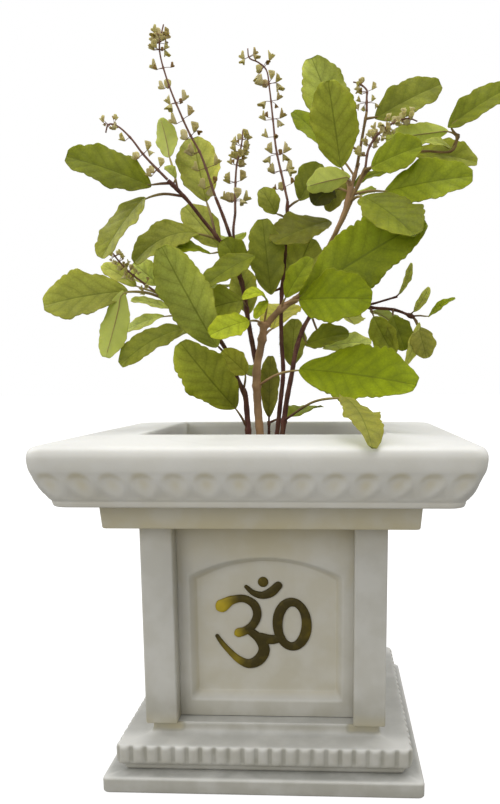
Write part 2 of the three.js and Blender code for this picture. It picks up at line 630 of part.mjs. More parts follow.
// ---------------------------------------------------------------- plant: flower spikes

// Each spike is the path of its middle stalk, the distance between its whorls of calyces
// below and near the tip, and the share of its length where it turns dense.
const SPIKES = {
  flower_spike_1: {
    path: [[-34, 6, 341], [-42, 3, 365], [-48, 2, 376], [-53, 0, 387], [-60, -2, 405], [-64, -3, 423],
      [-61, -3, 436]],
    first: 7, spacing: 10, tight: 4, dense: 0.74,
  },
  flower_spike_2: {
    path: [[-58, -18, 345], [-70, -24, 357], [-77, -27, 366], [-84, -28, 372], [-89, -28, 373],
      [-91, -28, 368]],
    first: 8, spacing: 11, tight: 4, dense: 0.72,
  },
  flower_spike_3: {
    path: [[-23, 15, 333], [-23, 17, 347], [-22, 19, 363], [-19, 20, 375], [-18, 20, 384]],
    first: 8, spacing: 11, tight: 4, dense: 0.52,
  },
  flower_spike_4: {
    path: [[10, 15, 340], [7, 16, 353], [3, 17, 371], [1, 18, 389], [-1, 19, 407], [-3, 19, 418],
      [-8, 18, 422], [-13, 17, 424], [-14, 17, 430]],
    first: 8, spacing: 10.5, tight: 5, dense: 0.88,
  },
  flower_spike_5: {
    path: [[59, 21, 393], [59, 22, 402], [59, 22, 406], [54, 22, 410], [50, 22, 411]],
    first: 6, spacing: 6, tight: 4, dense: 0.6,
  },
  flower_spike_6: {
    path: [[58, 8, 357], [60, 8, 368], [67, 10, 378], [76, 12, 384], [84, 12, 386], [90, 12, 384]],
    first: 7, spacing: 6, tight: 4.5, dense: 0.2,
  },
  flower_spike_7: {
    path: [[-66, 5, 280], [-79, 2, 289], [-90, 0, 298], [-98, -1, 308], [-100, -1, 311]],
    first: 15, spacing: 9, tight: 4, dense: 0.5,
  },
};

// A square ring of the spike's stalk at a distance along its curve.
function stalkRing(curve, distance, turn, radius) {
  const share = distance / curve.getLength();
  const along = curve.getTangentAt(share);
  const across = new THREE.Vector3(0, 1, 0).addScaledVector(along, -along.y).normalize();
  const up = along.clone().cross(across);
  const ring = [];
  for (let side = 0; side < 4; side += 1) {
    const angle = turn + (side * Math.PI) / 2;
    ring.push(curve.getPointAt(share).addScaledVector(across, radius * Math.cos(angle))
      .addScaledVector(up, radius * Math.sin(angle)));
  }
  return ring;
}

// One calyx: a four-sided bell that grows out of a face of the stalk between two rings.
// Returns the corners of its mouth, in the order of the face's corners.
function bellMouth(corners, along, reach) {
  const [a, b, c, d] = corners;
  const middle = a.clone().add(b).add(c).add(d).multiplyScalar(0.25);
  const around = b.clone().sub(a).normalize();
  const out = around.clone().cross(along).normalize();
  middle.addScaledVector(out, reach).addScaledVector(along, CALYX.lean * reach);
  return [[-1, -1], [1, -1], [1, 1], [-1, 1]].map(([side, rise]) => middle.clone()
    .addScaledVector(around, side * CALYX.mouth).addScaledVector(along, rise * CALYX.mouth));
}

// The stalk with a bell on each of its four faces at every whorl.
function flowerSpike({ path, first, spacing, tight, dense }, seed) {
  const random = seededRandom(seed);
  const curve = new THREE.CatmullRomCurve3(path.map(vec), false, "centripetal");
  const length = curve.getLength();
  const points = [];
  const triangles = [];
  const addQuad = (a, b, c, d) => triangles.push([a, b, c], [a, c, d]);
  const addRing = (ring) => ring.map((point) => points.push(point.toArray()) - 1);
  let lower = addRing(stalkRing(curve, GAP, 0, CALYX.stalk));
  addQuad(...lower.slice().reverse());
  let turn = 0;
  let distance = first;
  while (distance < length - CALYX.neck) {
    const packed = distance > dense * length;
    const along = curve.getTangentAt(distance / length);
    const below = stalkRing(curve, distance - CALYX.neck, turn, CALYX.stalk);
    const above = stalkRing(curve, distance + CALYX.neck, turn, CALYX.stalk);
    const start = addRing(below);
    const end = addRing(above);
    for (let i = 0; i < 4; i += 1) {
      const next = (i + 1) % 4;
      addQuad(lower[i], lower[next], start[next], start[i]);
      const reach = CALYX.length * (packed ? 0.7 : 1) * (0.8 + 0.4 * random());
      const mouth = addRing(bellMouth([below[i], below[next], above[next], above[i]], along, reach));
      const face = [start[i], start[next], end[next], end[i]];
      face.forEach((a, k) => addQuad(a, face[(k + 1) % 4], mouth[(k + 1) % 4], mouth[k]));
      addQuad(...mouth);
    }
    lower = end;
    turn += Math.PI / 4;
    distance += packed ? tight : spacing;
  }
  addQuad(...lower);
  return toSolid(geometryFrom(points, triangles));
}

// ---------------------------------------------------------------- soil

// Potting soil: a narrow block in the body and collar, a wide one in the rim with a lumpy
// top, and one plain hole for each stem.
function soil() {
  const random = seededRandom(5);
  const { top, wall, cells, lump } = SOIL;
  const half = RIM.hole - wall;
  const rows = cells + 1;
  const points = [];
  const triangles = [];
  for (let row = 0; row < rows; row += 1) {
    for (let column = 0; column < rows; column += 1) {
      const x = (2 * column / cells - 1) * half;
      const y = (2 * row / cells - 1) * half;
      const nearStems = Math.hypot(x, y) < 26;
      const corner = Math.abs(x) > half - 1 && Math.abs(y) > half - 1;
      const share = corner ? 1 - 1.2 / half : 1;
      points.push([share * x, share * y, top + (nearStems ? 0 : lump * (2 * random() - 1))]);
    }
  }
  for (let row = 0; row < cells; row += 1) {
    for (let column = 0; column < cells; column += 1) {
      const a = row * rows + column;
      triangles.push([a, a + 1, a + rows + 1], [a, a + rows + 1, a + rows]);
    }
  }
  const border = [];
  for (let i = 0; i < cells; i += 1) border.push(i);
  for (let i = 0; i < cells; i += 1) border.push(i * rows + cells);
  for (let i = cells; i > 0; i -= 1) border.push(cells * rows + i);
  for (let i = cells; i > 0; i -= 1) border.push(i * rows);
  const below = points.length;
  const ledge = COLLAR.top + GAP;
  for (const index of border) points.push([points[index][0], points[index][1], ledge]);
  const middle = points.push([0, 0, ledge]) - 1;
  border.forEach((a, i) => {
    const next = (i + 1) % border.length;
    triangles.push([a, below + i, below + next], [a, below + next, border[next]]);
    triangles.push([below + i, middle, below + next]);
  });
  const plug = squareBlock(BODY.cavity - wall, BODY.floor + GAP, ledge + 2);
  let body = join([geometryFrom(points, triangles), plug]);
  for (const { foot } of Object.values(SHOOTS)) {
    const { depth, sides, room } = STEM_FOOT;
    const radius = foot.radius + room;
    const hole = new THREE.CylinderGeometry(radius, radius, depth + 10, sides);
    hole.rotateX(Math.PI / 2).translate(foot.x, foot.y, top - depth / 2 + 5);
    body = body.subtract(toSolid(hole));
  }
  return body;
}

// ---------------------------------------------------------------- assembly

const plant = new THREE.Group();

function addPiece(name, solid, finish) {
  const mesh = new THREE.Mesh(toGeometry(solid), new THREE.MeshStandardMaterial(finish));
  mesh.name = name;
  plant.add(mesh);
}

addPiece("base_slab", toSolid(roundedSlab(SLAB)), MARBLE);
addPiece("dentil_slab", plinth(), MARBLE);
addPiece("pot_body", potBody(), MARBLE);
for (const [side, signY] of [["front", -1], ["back", 1]]) {
  addPiece(`corner_post_${side}_left`, cornerPost(-1, signY), MARBLE);
  addPiece(`corner_post_${side}_right`, cornerPost(1, signY), MARBLE);
}
addPiece("collar", collar(), MARBLE);
addPiece("rim", rim(), MARBLE);
addPiece("om_letter", omLetter(), BRONZE);
addPiece("om_crescent", omCrescent(), BRONZE);
addPiece("om_dot", omDot(), BRONZE);
addPiece("soil", soil(), EARTH);
Object.entries(SHOOTS).forEach(([name, parts], i) => addPiece(name, shoot(parts, 11 + i), FOLIAGE));
Object.entries(SPIKES).forEach(([name, parts], i) => addPiece(name, flowerSpike(parts, 31 + i), DRY_FLOWER));

export default plant;
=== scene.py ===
"""Looks of a holy basil plant that grows in a square pot of carved white marble.

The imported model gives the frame: metres, +Z up, the origin in the middle of the pot's
underside, and the panel with the Om sign towards -Y. The tables below are in millimetres,
and a shell turns them to metres when it becomes a mesh.
"""

from __future__ import annotations

import logging
import math
from dataclasses import dataclass, field
from enum import Enum

import bpy
import numpy as np
from mathutils import Matrix

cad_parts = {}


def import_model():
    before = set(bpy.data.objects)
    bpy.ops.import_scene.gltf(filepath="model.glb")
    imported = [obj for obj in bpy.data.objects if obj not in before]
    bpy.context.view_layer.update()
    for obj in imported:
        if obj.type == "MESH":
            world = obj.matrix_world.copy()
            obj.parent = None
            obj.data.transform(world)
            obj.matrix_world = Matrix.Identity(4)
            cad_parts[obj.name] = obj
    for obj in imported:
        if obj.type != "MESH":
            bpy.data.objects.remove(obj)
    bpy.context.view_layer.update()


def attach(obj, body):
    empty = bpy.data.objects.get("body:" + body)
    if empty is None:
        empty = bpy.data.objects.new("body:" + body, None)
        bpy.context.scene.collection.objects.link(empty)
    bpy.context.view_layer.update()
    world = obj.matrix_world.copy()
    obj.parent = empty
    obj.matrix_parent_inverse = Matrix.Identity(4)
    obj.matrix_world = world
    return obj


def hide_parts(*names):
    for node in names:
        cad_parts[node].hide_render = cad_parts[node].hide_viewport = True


log = logging.getLogger("holy_basil")

MM = 0.001
GAP = 0.3  # clearance between pieces that touch
TINY = 1e-6  # keeps rounding from moving a point over a limit
Array = np.ndarray
Pair = tuple[float, float]
Point = tuple[float, float, float]
Colour = tuple[float, float, float]


# ------------------------------------------------------------------ numbers and colours


def linear(red: float, green: float, blue: float) -> Colour:
    """Turns a display colour from 0 to 255 into the linear colour that a shader takes."""
    parts = np.array([red, green, blue]) / 255.0
    low, high = parts / 12.92, ((parts + 0.055) / 1.055) ** 2.4
    return tuple(float(value) for value in np.where(parts <= 0.04045, low, high))


def smooth(low: float, high: float, value: Array) -> Array:
    """Rises from 0 at low to 1 at high with no kink: 3 s^2 - 2 s^3 of the share s."""
    share = np.clip((value - low) / (high - low), 0.0, 1.0)
    return share * share * (3.0 - 2.0 * share)


def unit(vectors: Array) -> Array:
    """Gives each vector in the last axis a length of one."""
    return vectors / np.linalg.norm(vectors, axis=-1, keepdims=True)


def waves(points: Array, wavelength: float, seed: int) -> Array:
    """A smooth random field: the sum of ten plane waves with random directions and phases.

    Args:
        points: places in millimetres, with the coordinates in the last axis.
        wavelength: the usual distance between two crests, in millimetres.
        seed: picks the directions and phases.

    Returns:
        One number per place, about 1 in size.
    """
    count = 10
    random = np.random.default_rng(seed)
    turns = unit(random.normal(size=(count, 3))) * random.uniform(0.6, 1.6, (count, 1))
    phases = random.uniform(0, 2 * math.pi, count)
    return np.sin(points @ (turns.T * 2 * math.pi / wavelength) + phases).sum(-1) / math.sqrt(count)


def even_turns(count: int) -> Array:
    """Angles that divide a full turn evenly, from 0."""
    return np.linspace(0, 2 * math.pi, count, endpoint=False)


def quarter_turn(count: int) -> Array:
    """Angles from 0 to a quarter turn, both counted in."""
    return np.linspace(0, math.pi / 2, count)


class SeededDraws:
    """The same draws as the plant's solids use, so that both wave their leaves alike."""

    FACTOR, STEP, RANGE = 1664525, 1013904223, 2**32

    def __init__(self, seed: int) -> None:
        """Starts the draws at a seed."""
        self.state = seed

    def next(self) -> float:
        """Returns the next number between 0 and 1."""
        self.state = (self.state * self.FACTOR + self.STEP) % self.RANGE
        return self.state / self.RANGE


# ------------------------------------------------------------------ curves and shells


class Route:
    """A smooth curve through points: a centripetal Catmull-Rom spline with straight ends."""

    SAMPLES = 400

    def __init__(self, points: list[Point] | Array) -> None:
        """Takes the points that the curve passes through, in order."""
        inner = np.array(points, float)
        ends = 2 * inner[0] - inner[1], 2 * inner[-1] - inner[-2]
        self.knots = np.vstack([ends[0], inner, ends[1]])
        self.spans = len(inner) - 1
        self.shares = np.linspace(0, 1, self.SAMPLES)
        steps = np.linalg.norm(np.diff(self.at(self.shares), axis=0), axis=1)
        self.travelled = np.concatenate([[0.0], np.cumsum(steps)])
        self.length = float(self.travelled[-1])

    def at(self, share: Array | float) -> Array:
        """Points at shares of the curve, with every span between two knots counted alike.

        Between knots p1 and p2 it is the cubic that leaves p1 and reaches p2 with the slopes
        of the parabolas through three knots each, spaced by the roots of their distances.
        """
        place = np.clip(np.asarray(share, float), 0, 1) * self.spans
        span = np.minimum(place.astype(int), self.spans - 1)
        t = (place - span)[..., None]
        p0, p1, p2, p3 = (self.knots[span + k] for k in range(4))
        d0, d1, d2 = (
            np.sqrt(np.maximum(np.linalg.norm(b - a, axis=-1, keepdims=True), 1e-9))
            for a, b in ((p0, p1), (p1, p2), (p2, p3))
        )
        leave = ((p1 - p0) / d0 - (p2 - p0) / (d0 + d1) + (p2 - p1) / d1) * d1
        reach = ((p2 - p1) / d1 - (p3 - p1) / (d1 + d2) + (p3 - p2) / d2) * d1
        square, cube = t * t, t * t * t
        return (
            (2 * cube - 3 * square + 1) * p1
            + (cube - 2 * square + t) * leave
            + (3 * square - 2 * cube) * p2
            + (cube - square) * reach
        )

    def along(self, share: Array | float) -> Array:
        """The unit direction of the curve at shares of it."""
        step = 1e-3
        share = np.clip(np.asarray(share, float), step, 1 - step)
        return unit(self.at(share + step) - self.at(share - step))

    def share_at(self, distance: Array | float) -> Array:
        """The share of the curve that lies at a distance from its start."""
        return np.interp(distance, self.travelled, self.shares)


def cross_frame(along: Array) -> tuple[Array, Array]:
    """Two directions across a path, from the axis that its chord leans on least.

    Args:
        along: unit directions of the path, one per station.

    Returns:
        The first direction across, and the second, which completes a right-handed frame.
    """
    reference = np.eye(3)[np.argmin(np.abs(along.mean(0)))]
    across = unit(reference - (along @ reference)[:, None] * along)
    return across, np.cross(along, across)


def tube_rings(route: Route, shares: Array, radii: Array, sides: int) -> Array:
    """Rings of a round tube: centre + radius (cos a across + sin a up) at even angles a."""
    along = route.along(shares)
    across, up = cross_frame(along)
    angles = (np.arange(sides) + 0.5) * 2 * math.pi / sides
    cosine, sine = np.cos(angles)[None, :, None], np.sin(angles)[None, :, None]
    spread = cosine * across[:, None] + sine * up[:, None]
    return route.at(shares)[:, None] + radii[:, None, None] * spread


@dataclass
class Shell:
    """Closed surfaces gathered for one mesh, with the colour and marks of each point."""

    points: list[Array] = field(default_factory=list)
    tints: list[Array] = field(default_factory=list)
    marks: dict[str, list[Array]] = field(default_factory=dict)
    quads: list[Array] = field(default_factory=list)
    triangles: list[Array] = field(default_factory=list)
    size: int = 0

    def _add_points(self, points: Array, tint: Array | Colour, marks: dict[str, Array | float]) -> int:
        """Adds points with what they carry and returns the number of the first one."""
        first, count = self.size, len(points)
        self.points.append(points)
        self.tints.append(np.broadcast_to(np.asarray(tint, float), (count, 3)))
        for name in set(self.marks) | set(marks):
            filled = self.marks.setdefault(name, [np.zeros(first)] if first else [])
            filled.append(np.broadcast_to(np.asarray(marks.get(name, 0.0), float), (count,)))
        self.size += count
        return first

    def loft(
        self,
        rings: Array,
        tint: Array | Colour = (1.0, 1.0, 1.0),
        closed: bool = False,
        centres: tuple[Array, Array] | None = None,
        **marks: Array | float,
    ) -> Shell:
        """Adds the surface through rings of points, counterclockwise seen from the far end.

        Args:
            rings: the points, as (rings, points in each ring, 3).
            tint: one colour, or one per point as (rings, points in each ring, 3).
            closed: joins the last ring to the first in place of closing both ends by fans.
            centres: the middle points of the two fans, if not the middles of the rings.
            marks: named numbers, each one for all points or one per point.

        Returns:
            The shell itself.
        """
        count, around = rings.shape[:2]
        flat_tint = np.reshape(tint, (-1, 3)) if np.ndim(tint) == 3 else tint
        flat_marks = {k: np.ravel(v) if np.ndim(v) else v for k, v in marks.items()}
        first = self._add_points(rings.reshape(-1, 3), flat_tint, flat_marks)
        corner = first + np.arange(count * around).reshape(count, around)
        if closed:
            corner = np.vstack([corner, corner[:1]])
        beside = np.roll(corner, -1, axis=1)
        faces = np.stack([corner[:-1], beside[:-1], beside[1:], corner[1:]], axis=-1)
        self.quads.append(faces.reshape(-1, 4))
        if closed:
            return self
        middles = centres or (rings[0].mean(0), rings[-1].mean(0))
        for end, middle in zip((0, -1), middles):
            own_tint = np.asarray(tint)[end].mean(0) if np.ndim(tint) == 3 else tint
            own = {k: float(np.asarray(v)[end].mean()) if np.ndim(v) else v for k, v in marks.items()}
            hub = self._add_points(np.reshape(middle, (1, 3)), own_tint, own)
            edge = (beside[0], corner[0]) if end == 0 else (corner[-1], beside[-1])
            self.triangles.append(np.stack([np.full(around, hub), *edge], axis=-1))
        return self

    def build(self, name: str, material: bpy.types.Material) -> bpy.types.Object:
        """Turns the shell into a smooth-shaded object in metres and returns it.

        Args:
            name: the name of the piece.
            material: its finish.
        """
        mesh = bpy.data.meshes.new(name)
        faces = np.concatenate(self.quads).tolist()
        faces += np.concatenate(self.triangles).tolist() if self.triangles else []
        mesh.from_pydata((np.concatenate(self.points) * MM).tolist(), [], faces)
        tint = np.concatenate(self.tints)
        tint = np.concatenate([tint, np.ones((len(tint), 1))], axis=1).astype(np.float32)
        mesh.attributes.new("tint", "FLOAT_COLOR", "POINT").data.foreach_set("color", tint.ravel())
        for mark, values in self.marks.items():
            stored = mesh.attributes.new(mark, "FLOAT", "POINT")
            stored.data.foreach_set("value", np.concatenate(values).astype(np.float32))
        mesh.polygons.foreach_set("use_smooth", np.ones(len(mesh.polygons), bool))
        mesh.materials.append(material)
        piece = bpy.data.objects.new(name, mesh)
        bpy.context.scene.collection.objects.link(piece)
        return piece


def place(piece: bpy.types.Object, slot: str, node: str) -> None:
    """Lets a piece ride on the model and stand for a CAD node."""
    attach(piece, "root")
    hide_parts(node)
    log.info("%s stands for %s with %d faces", piece.name, node, len(piece.data.polygons))


# ------------------------------------------------------------------ finishes


class Graph:
    """A small helper that lays out one material's nodes."""

    # numbers of the Mix node's sockets for colours
    SHARE, FIRST, SECOND, MIXED = 0, 6, 7, 2

    def __init__(self, name: str) -> None:
        """Makes a material whose only shader is a Principled one."""
        self.material = bpy.data.materials.new(name)
        self.material.use_nodes = True
        self.tree = self.material.node_tree
        self.shader = self.tree.nodes["Principled BSDF"]
        coordinates = self.tree.nodes.new("ShaderNodeTexCoord")
        self.object_place = coordinates.outputs["Object"]

    def _feed(self, socket: bpy.types.NodeSocket, value: object) -> None:
        """Links a socket to another socket, or sets its own value."""
        if isinstance(value, bpy.types.NodeSocket):
            self.tree.links.new(value, socket)
        elif socket.type == "RGBA":
            socket.default_value = (*value, 1.0)
        else:
            socket.default_value = value

    def math(self, operation: str, *values: object) -> bpy.types.NodeSocket:
        """One Math node."""
        node = self.tree.nodes.new("ShaderNodeMath")
        node.operation = operation
        for socket, value in zip(node.inputs, values):
            self._feed(socket, value)
        return node.outputs[0]

    def times(self, first: object, second: object) -> bpy.types.NodeSocket:
        """The product of two numbers."""
        return self.math("MULTIPLY", first, second)

    def ramp(self, value: object, low: float, high: float, start: float = 0.0, end: float = 1.0) -> object:
        """Maps low..high smoothly onto start..end."""
        node = self.tree.nodes.new("ShaderNodeMapRange")
        node.interpolation_type = "SMOOTHSTEP"
        for name, number in zip(("From Min", "From Max", "To Min", "To Max"), (low, high, start, end)):
            node.inputs[name].default_value = number
        self._feed(node.inputs["Value"], value)
        return node.outputs["Result"]

    def mix(self, share: object, first: object, second: object, blend: str = "MIX") -> object:
        """Blends two colours."""
        node = self.tree.nodes.new("ShaderNodeMix")
        node.data_type = "RGBA"
        node.blend_type = blend
        for number, value in ((self.SHARE, share), (self.FIRST, first), (self.SECOND, second)):
            self._feed(node.inputs[number], value)
        return node.outputs[self.MIXED]

    def attribute(self, name: str) -> bpy.types.ShaderNodeAttribute:
        """Reads one of the piece's own attributes."""
        node = self.tree.nodes.new("ShaderNodeAttribute")
        node.attribute_name = name
        return node

    def number(self, name: str) -> bpy.types.NodeSocket:
        """Reads one of the piece's marks."""
        return self.attribute(name).outputs["Fac"]

    def tint(self) -> bpy.types.NodeSocket:
        """Reads the piece's own colours."""
        return self.attribute("tint").outputs["Color"]

    def noise(self, per_metre: float, detail: float, stretch: Point = (1, 1, 1)) -> object:
        """Fractal noise on the object's coordinates, from 0 to 1."""
        mapping = self.tree.nodes.new("ShaderNodeMapping")
        mapping.inputs["Scale"].default_value = stretch
        self.tree.links.new(self.object_place, mapping.inputs["Vector"])
        node = self.tree.nodes.new("ShaderNodeTexNoise")
        node.inputs["Scale"].default_value = per_metre
        node.inputs["Detail"].default_value = detail
        self.tree.links.new(mapping.outputs["Vector"], node.inputs["Vector"])
        return node.outputs["Fac"]

    def cells(self, per_metre: float) -> bpy.types.NodeSocket:
        """Distance to the edges of random cells, for a fine net."""
        node = self.tree.nodes.new("ShaderNodeTexVoronoi")
        node.feature = "DISTANCE_TO_EDGE"
        node.inputs["Scale"].default_value = per_metre
        self.tree.links.new(self.object_place, node.inputs["Vector"])
        return node.outputs["Distance"]

    def bump(self, height: object, strength: float, distance_mm: float) -> None:
        """Adds relief to the shader's normal, on top of any that it has."""
        node = self.tree.nodes.new("ShaderNodeBump")
        node.inputs["Strength"].default_value = strength
        node.inputs["Distance"].default_value = distance_mm * MM
        self._feed(node.inputs["Height"], height)
        socket = self.shader.inputs["Normal"]
        if socket.is_linked:
            self.tree.links.new(socket.links[0].from_socket, node.inputs["Normal"])
        self.tree.links.new(node.outputs["Normal"], socket)

    def finish(self, colour: object, roughness: object, **constants: object) -> bpy.types.Material:
        """Sets the shader's colour, roughness and plain values and returns the material."""
        self._feed(self.shader.inputs["Base Color"], colour)
        self._feed(self.shader.inputs["Roughness"], roughness)
        for name, value in constants.items():
            label = name.replace("_", " ").title().replace("Ior", "IOR")
            self.shader.inputs[label].default_value = value
        return self.material


@dataclass(frozen=True)
class MarbleFinish:
    """Honed white marble with faint grey clouds, fine grain, yellow stains and grey dust, and painted shade
    in warm and grey tones.
    """

    base: Colour = linear(234, 233, 228)
    cloud: Colour = linear(222, 221, 216)
    stain: Colour = linear(207, 192, 138)
    grime: Colour = linear(160, 160, 154)
    clouds_per_metre: float = 16.0
    veins_per_metre: float = 9.0
    patches_per_metre: float = 60.0
    grain_per_metre: float = 900.0
    tool_marks_per_metre: float = 70.0

    def material(self) -> bpy.types.Material:
        """Builds the material: clouds by noise; stains, dust and painted shade by the piece's own marks."""
        graph = Graph("honed_marble")
        clouds = graph.ramp(graph.noise(self.clouds_per_metre, 6), 0.42, 0.72, 0.0, 0.85)
        colour = graph.mix(clouds, self.base, self.cloud)
        from_vein = graph.math("SUBTRACT", graph.noise(self.veins_per_metre, 8), 0.5)
        veins = graph.ramp(graph.math("ABSOLUTE", from_vein), 0.0, 0.02, 0.1, 0.0)
        colour = graph.mix(veins, colour, self.cloud, "MULTIPLY")
        uneven = graph.ramp(graph.noise(self.patches_per_metre, 4), 0.3, 0.65, 0.7, 1.0)
        # the grey mark holds dust and grey painted shade, the yellow mark holds stains and warm painted shade
        for mark, mark_colour in (("grime", self.grime), ("stain", self.stain)):
            colour = graph.mix(graph.times(graph.number(mark), uneven), colour, mark_colour)
        grain = graph.noise(self.grain_per_metre, 4)
        graph.bump(grain, 0.12, 0.15)
        graph.bump(graph.noise(self.tool_marks_per_metre, 5), 0.15, 0.5)
        return graph.finish(
            colour, graph.ramp(grain, 0.3, 0.7, 0.38, 0.52), subsurface_weight=0.12,
            subsurface_radius=(1.0, 0.9, 0.7), subsurface_scale=2 * MM,
        )


@dataclass(frozen=True)
class MetalFinish:
    """Brass with painted reflections in its colour: dark, as if mirroring dark surroundings, and bright
    golden in patches.
    """

    dark_reflection: Colour = linear(70, 60, 20)
    gold: Colour = linear(196, 172, 44)
    flecks_per_metre: float = 260.0
    pits_per_metre: float = 500.0
    dull_per_metre: float = 150.0

    def material(self) -> bpy.types.Material:
        """Builds the material: painted golden reflections by the piece's own mark, broken up by noise."""
        graph = Graph("brass_painted_reflection")
        # painted reflection: golden patches over a dark colour that stands for mirrored dark surroundings
        uneven = graph.ramp(graph.noise(self.flecks_per_metre, 4), 0.3, 0.7, -0.04, 0.06)
        reflection_patches = graph.math("MAXIMUM", graph.math("ADD", graph.number("gold"), uneven), 0.0)
        colour = graph.mix(graph.math("MINIMUM", reflection_patches, 1.0), self.dark_reflection, self.gold)
        graph.bump(graph.noise(self.pits_per_metre, 3), 0.2, 0.2)
        rough = graph.ramp(graph.noise(self.dull_per_metre, 3), 0.3, 0.7, 0.42, 0.6)
        return graph.finish(colour, rough, metallic=0.2, specular_ior_level=0.3)


@dataclass(frozen=True)
class LeafFinish:
    """Soft matt leaf: own colour, pale veins, painted light on the puffed panels between them, a darker
    quilted net and a dusky edge.
    """

    vein: Colour = linear(82, 92, 8)
    pale_vein: Colour = linear(176, 184, 104)
    edge: Colour = linear(110, 104, 36)
    back: Colour = linear(212, 220, 112)
    clouds_per_metre: float = 95.0
    speckles_per_metre: float = 700.0
    net_per_metre: float = 520.0
    gloss_per_metre: float = 300.0

    def material(self) -> bpy.types.Material:
        """Builds the material from the marks across, vein and under of each blade."""
        graph = Graph("basil_leaf")
        off = graph.math("ABSOLUTE", graph.number("across"))
        under = graph.number("under")
        clouds = graph.ramp(graph.noise(self.clouds_per_metre, 4), 0.25, 0.75, 0.86, 1.14)
        fine = graph.ramp(graph.noise(self.speckles_per_metre, 4), 0.2, 0.8, 0.9, 1.1)
        from_vein = graph.math("PINGPONG", graph.number("vein"), 0.5)
        # painted light: lighter on the puffed panels between side veins, darker next to the veins
        bulge_light = graph.ramp(from_vein, 0.02, 0.4, 0.93, 1.05)
        shade = graph.times(graph.times(clouds, fine), bulge_light)
        net = graph.ramp(graph.cells(self.net_per_metre), 0.0, 0.16, 0.9, 1.0)
        shade = graph.times(shade, net)
        grey = graph.tree.nodes.new("ShaderNodeCombineColor")
        for socket in grey.inputs[:3]:
            graph.tree.links.new(shade, socket)
        colour = graph.mix(1.0, graph.tint(), grey.outputs[0], "MULTIPLY")
        colour = graph.mix(graph.times(under, 0.55), colour, self.back)
        lateral = graph.ramp(from_vein, 0.0, 0.07, 1.0, 0.0)
        lateral = graph.times(lateral, graph.ramp(off, 0.5, 0.95, 1.0, 0.15))
        midrib = graph.ramp(off, 0.012, 0.05, 1.0, 0.0)
        lines = graph.math("MAXIMUM", midrib, graph.times(lateral, 0.42))
        vein = graph.mix(under, self.vein, self.pale_vein)
        colour = graph.mix(graph.times(lines, 0.5), colour, vein)
        colour = graph.mix(graph.ramp(off, 0.93, 1.0, 0.0, 0.3), colour, self.edge)
        graph.bump(lines, 0.35, 0.25)
        graph.bump(graph.cells(self.net_per_metre), 0.25, 0.15)
        rough = graph.ramp(graph.noise(self.gloss_per_metre, 3), 0.3, 0.7, 0.42, 0.6)
        return graph.finish(
            colour, rough, specular_ior_level=0.12, subsurface_weight=0.4,
            subsurface_radius=(0.8, 1.0, 0.15), subsurface_scale=1.2 * MM,
        )


@dataclass(frozen=True)
class StemFinish:
    """Woody green stem, streaked along its length, with its own colour."""

    streak: Colour = linear(156, 126, 88)
    streaks_per_metre: float = 900.0
    patches_per_metre: float = 180.0
    ridges_per_metre: float = 1100.0

    def material(self) -> bpy.types.Material:
        """Builds the material: streaks by noise drawn out along Z."""
        graph = Graph("basil_stem")
        streaks = graph.ramp(graph.noise(self.streaks_per_metre, 4, (1, 1, 0.12)), 0.4, 0.75, 0.0, 0.32)
        colour = graph.mix(streaks, graph.tint(), self.streak)
        patches = graph.ramp(graph.noise(self.patches_per_metre, 4), 0.3, 0.7, 0.0, 0.35)
        colour = graph.mix(patches, colour, graph.tint(), "MULTIPLY")
        graph.bump(graph.noise(self.ridges_per_metre, 3, (1, 1, 0.1)), 0.35, 0.2)
        return graph.finish(colour, graph.ramp(streaks, 0.0, 0.32, 0.6, 0.75), specular_ior_level=0.25)


@dataclass(frozen=True)
class DryFlowerFinish:
    """Thin papery calyx, wrinkled and freckled, with its own colour."""

    freckle: Colour = linear(96, 78, 48)
    freckles_per_metre: float = 1100.0
    wrinkles_per_metre: float = 1800.0
    dull_per_metre: float = 600.0

    def material(self) -> bpy.types.Material:
        """Builds the material: freckles by noise over the piece's own colour."""
        graph = Graph("dry_calyx")
        freckles = graph.ramp(graph.noise(self.freckles_per_metre, 3), 0.5, 0.75, 0.0, 0.25)
        colour = graph.mix(freckles, graph.tint(), self.freckle)
        graph.bump(graph.noise(self.wrinkles_per_metre, 3), 0.3, 0.15)
        rough = graph.ramp(graph.noise(self.dull_per_metre, 2), 0.3, 0.7, 0.6, 0.8)
        return graph.finish(
            colour, rough, specular_ior_level=0.2, subsurface_weight=0.3,
            subsurface_radius=(0.8, 0.7, 0.3), subsurface_scale=1 * MM,
        )


@dataclass(frozen=True)
class SoilFinish:
    """Loose dark potting soil."""

    dry: Colour = linear(92, 68, 48)
    patches_per_metre: float = 260.0
    crumbs_per_metre: float = 420.0
    grains_per_metre: float = 650.0

    def material(self) -> bpy.types.Material:
        """Builds the material: damp and dry patches by noise, with a crumbly relief."""
        graph = Graph("potting_soil")
        dry = graph.ramp(graph.noise(self.patches_per_metre, 6), 0.4, 0.75, 0.0, 0.7)
        colour = graph.mix(dry, graph.tint(), self.dry)
        graph.bump(graph.noise(self.crumbs_per_metre, 6), 0.9, 1.2)
        graph.bump(graph.cells(self.grains_per_metre), 0.5, 0.5)
        return graph.finish(colour, graph.ramp(dry, 0.0, 0.7, 0.8, 0.95))


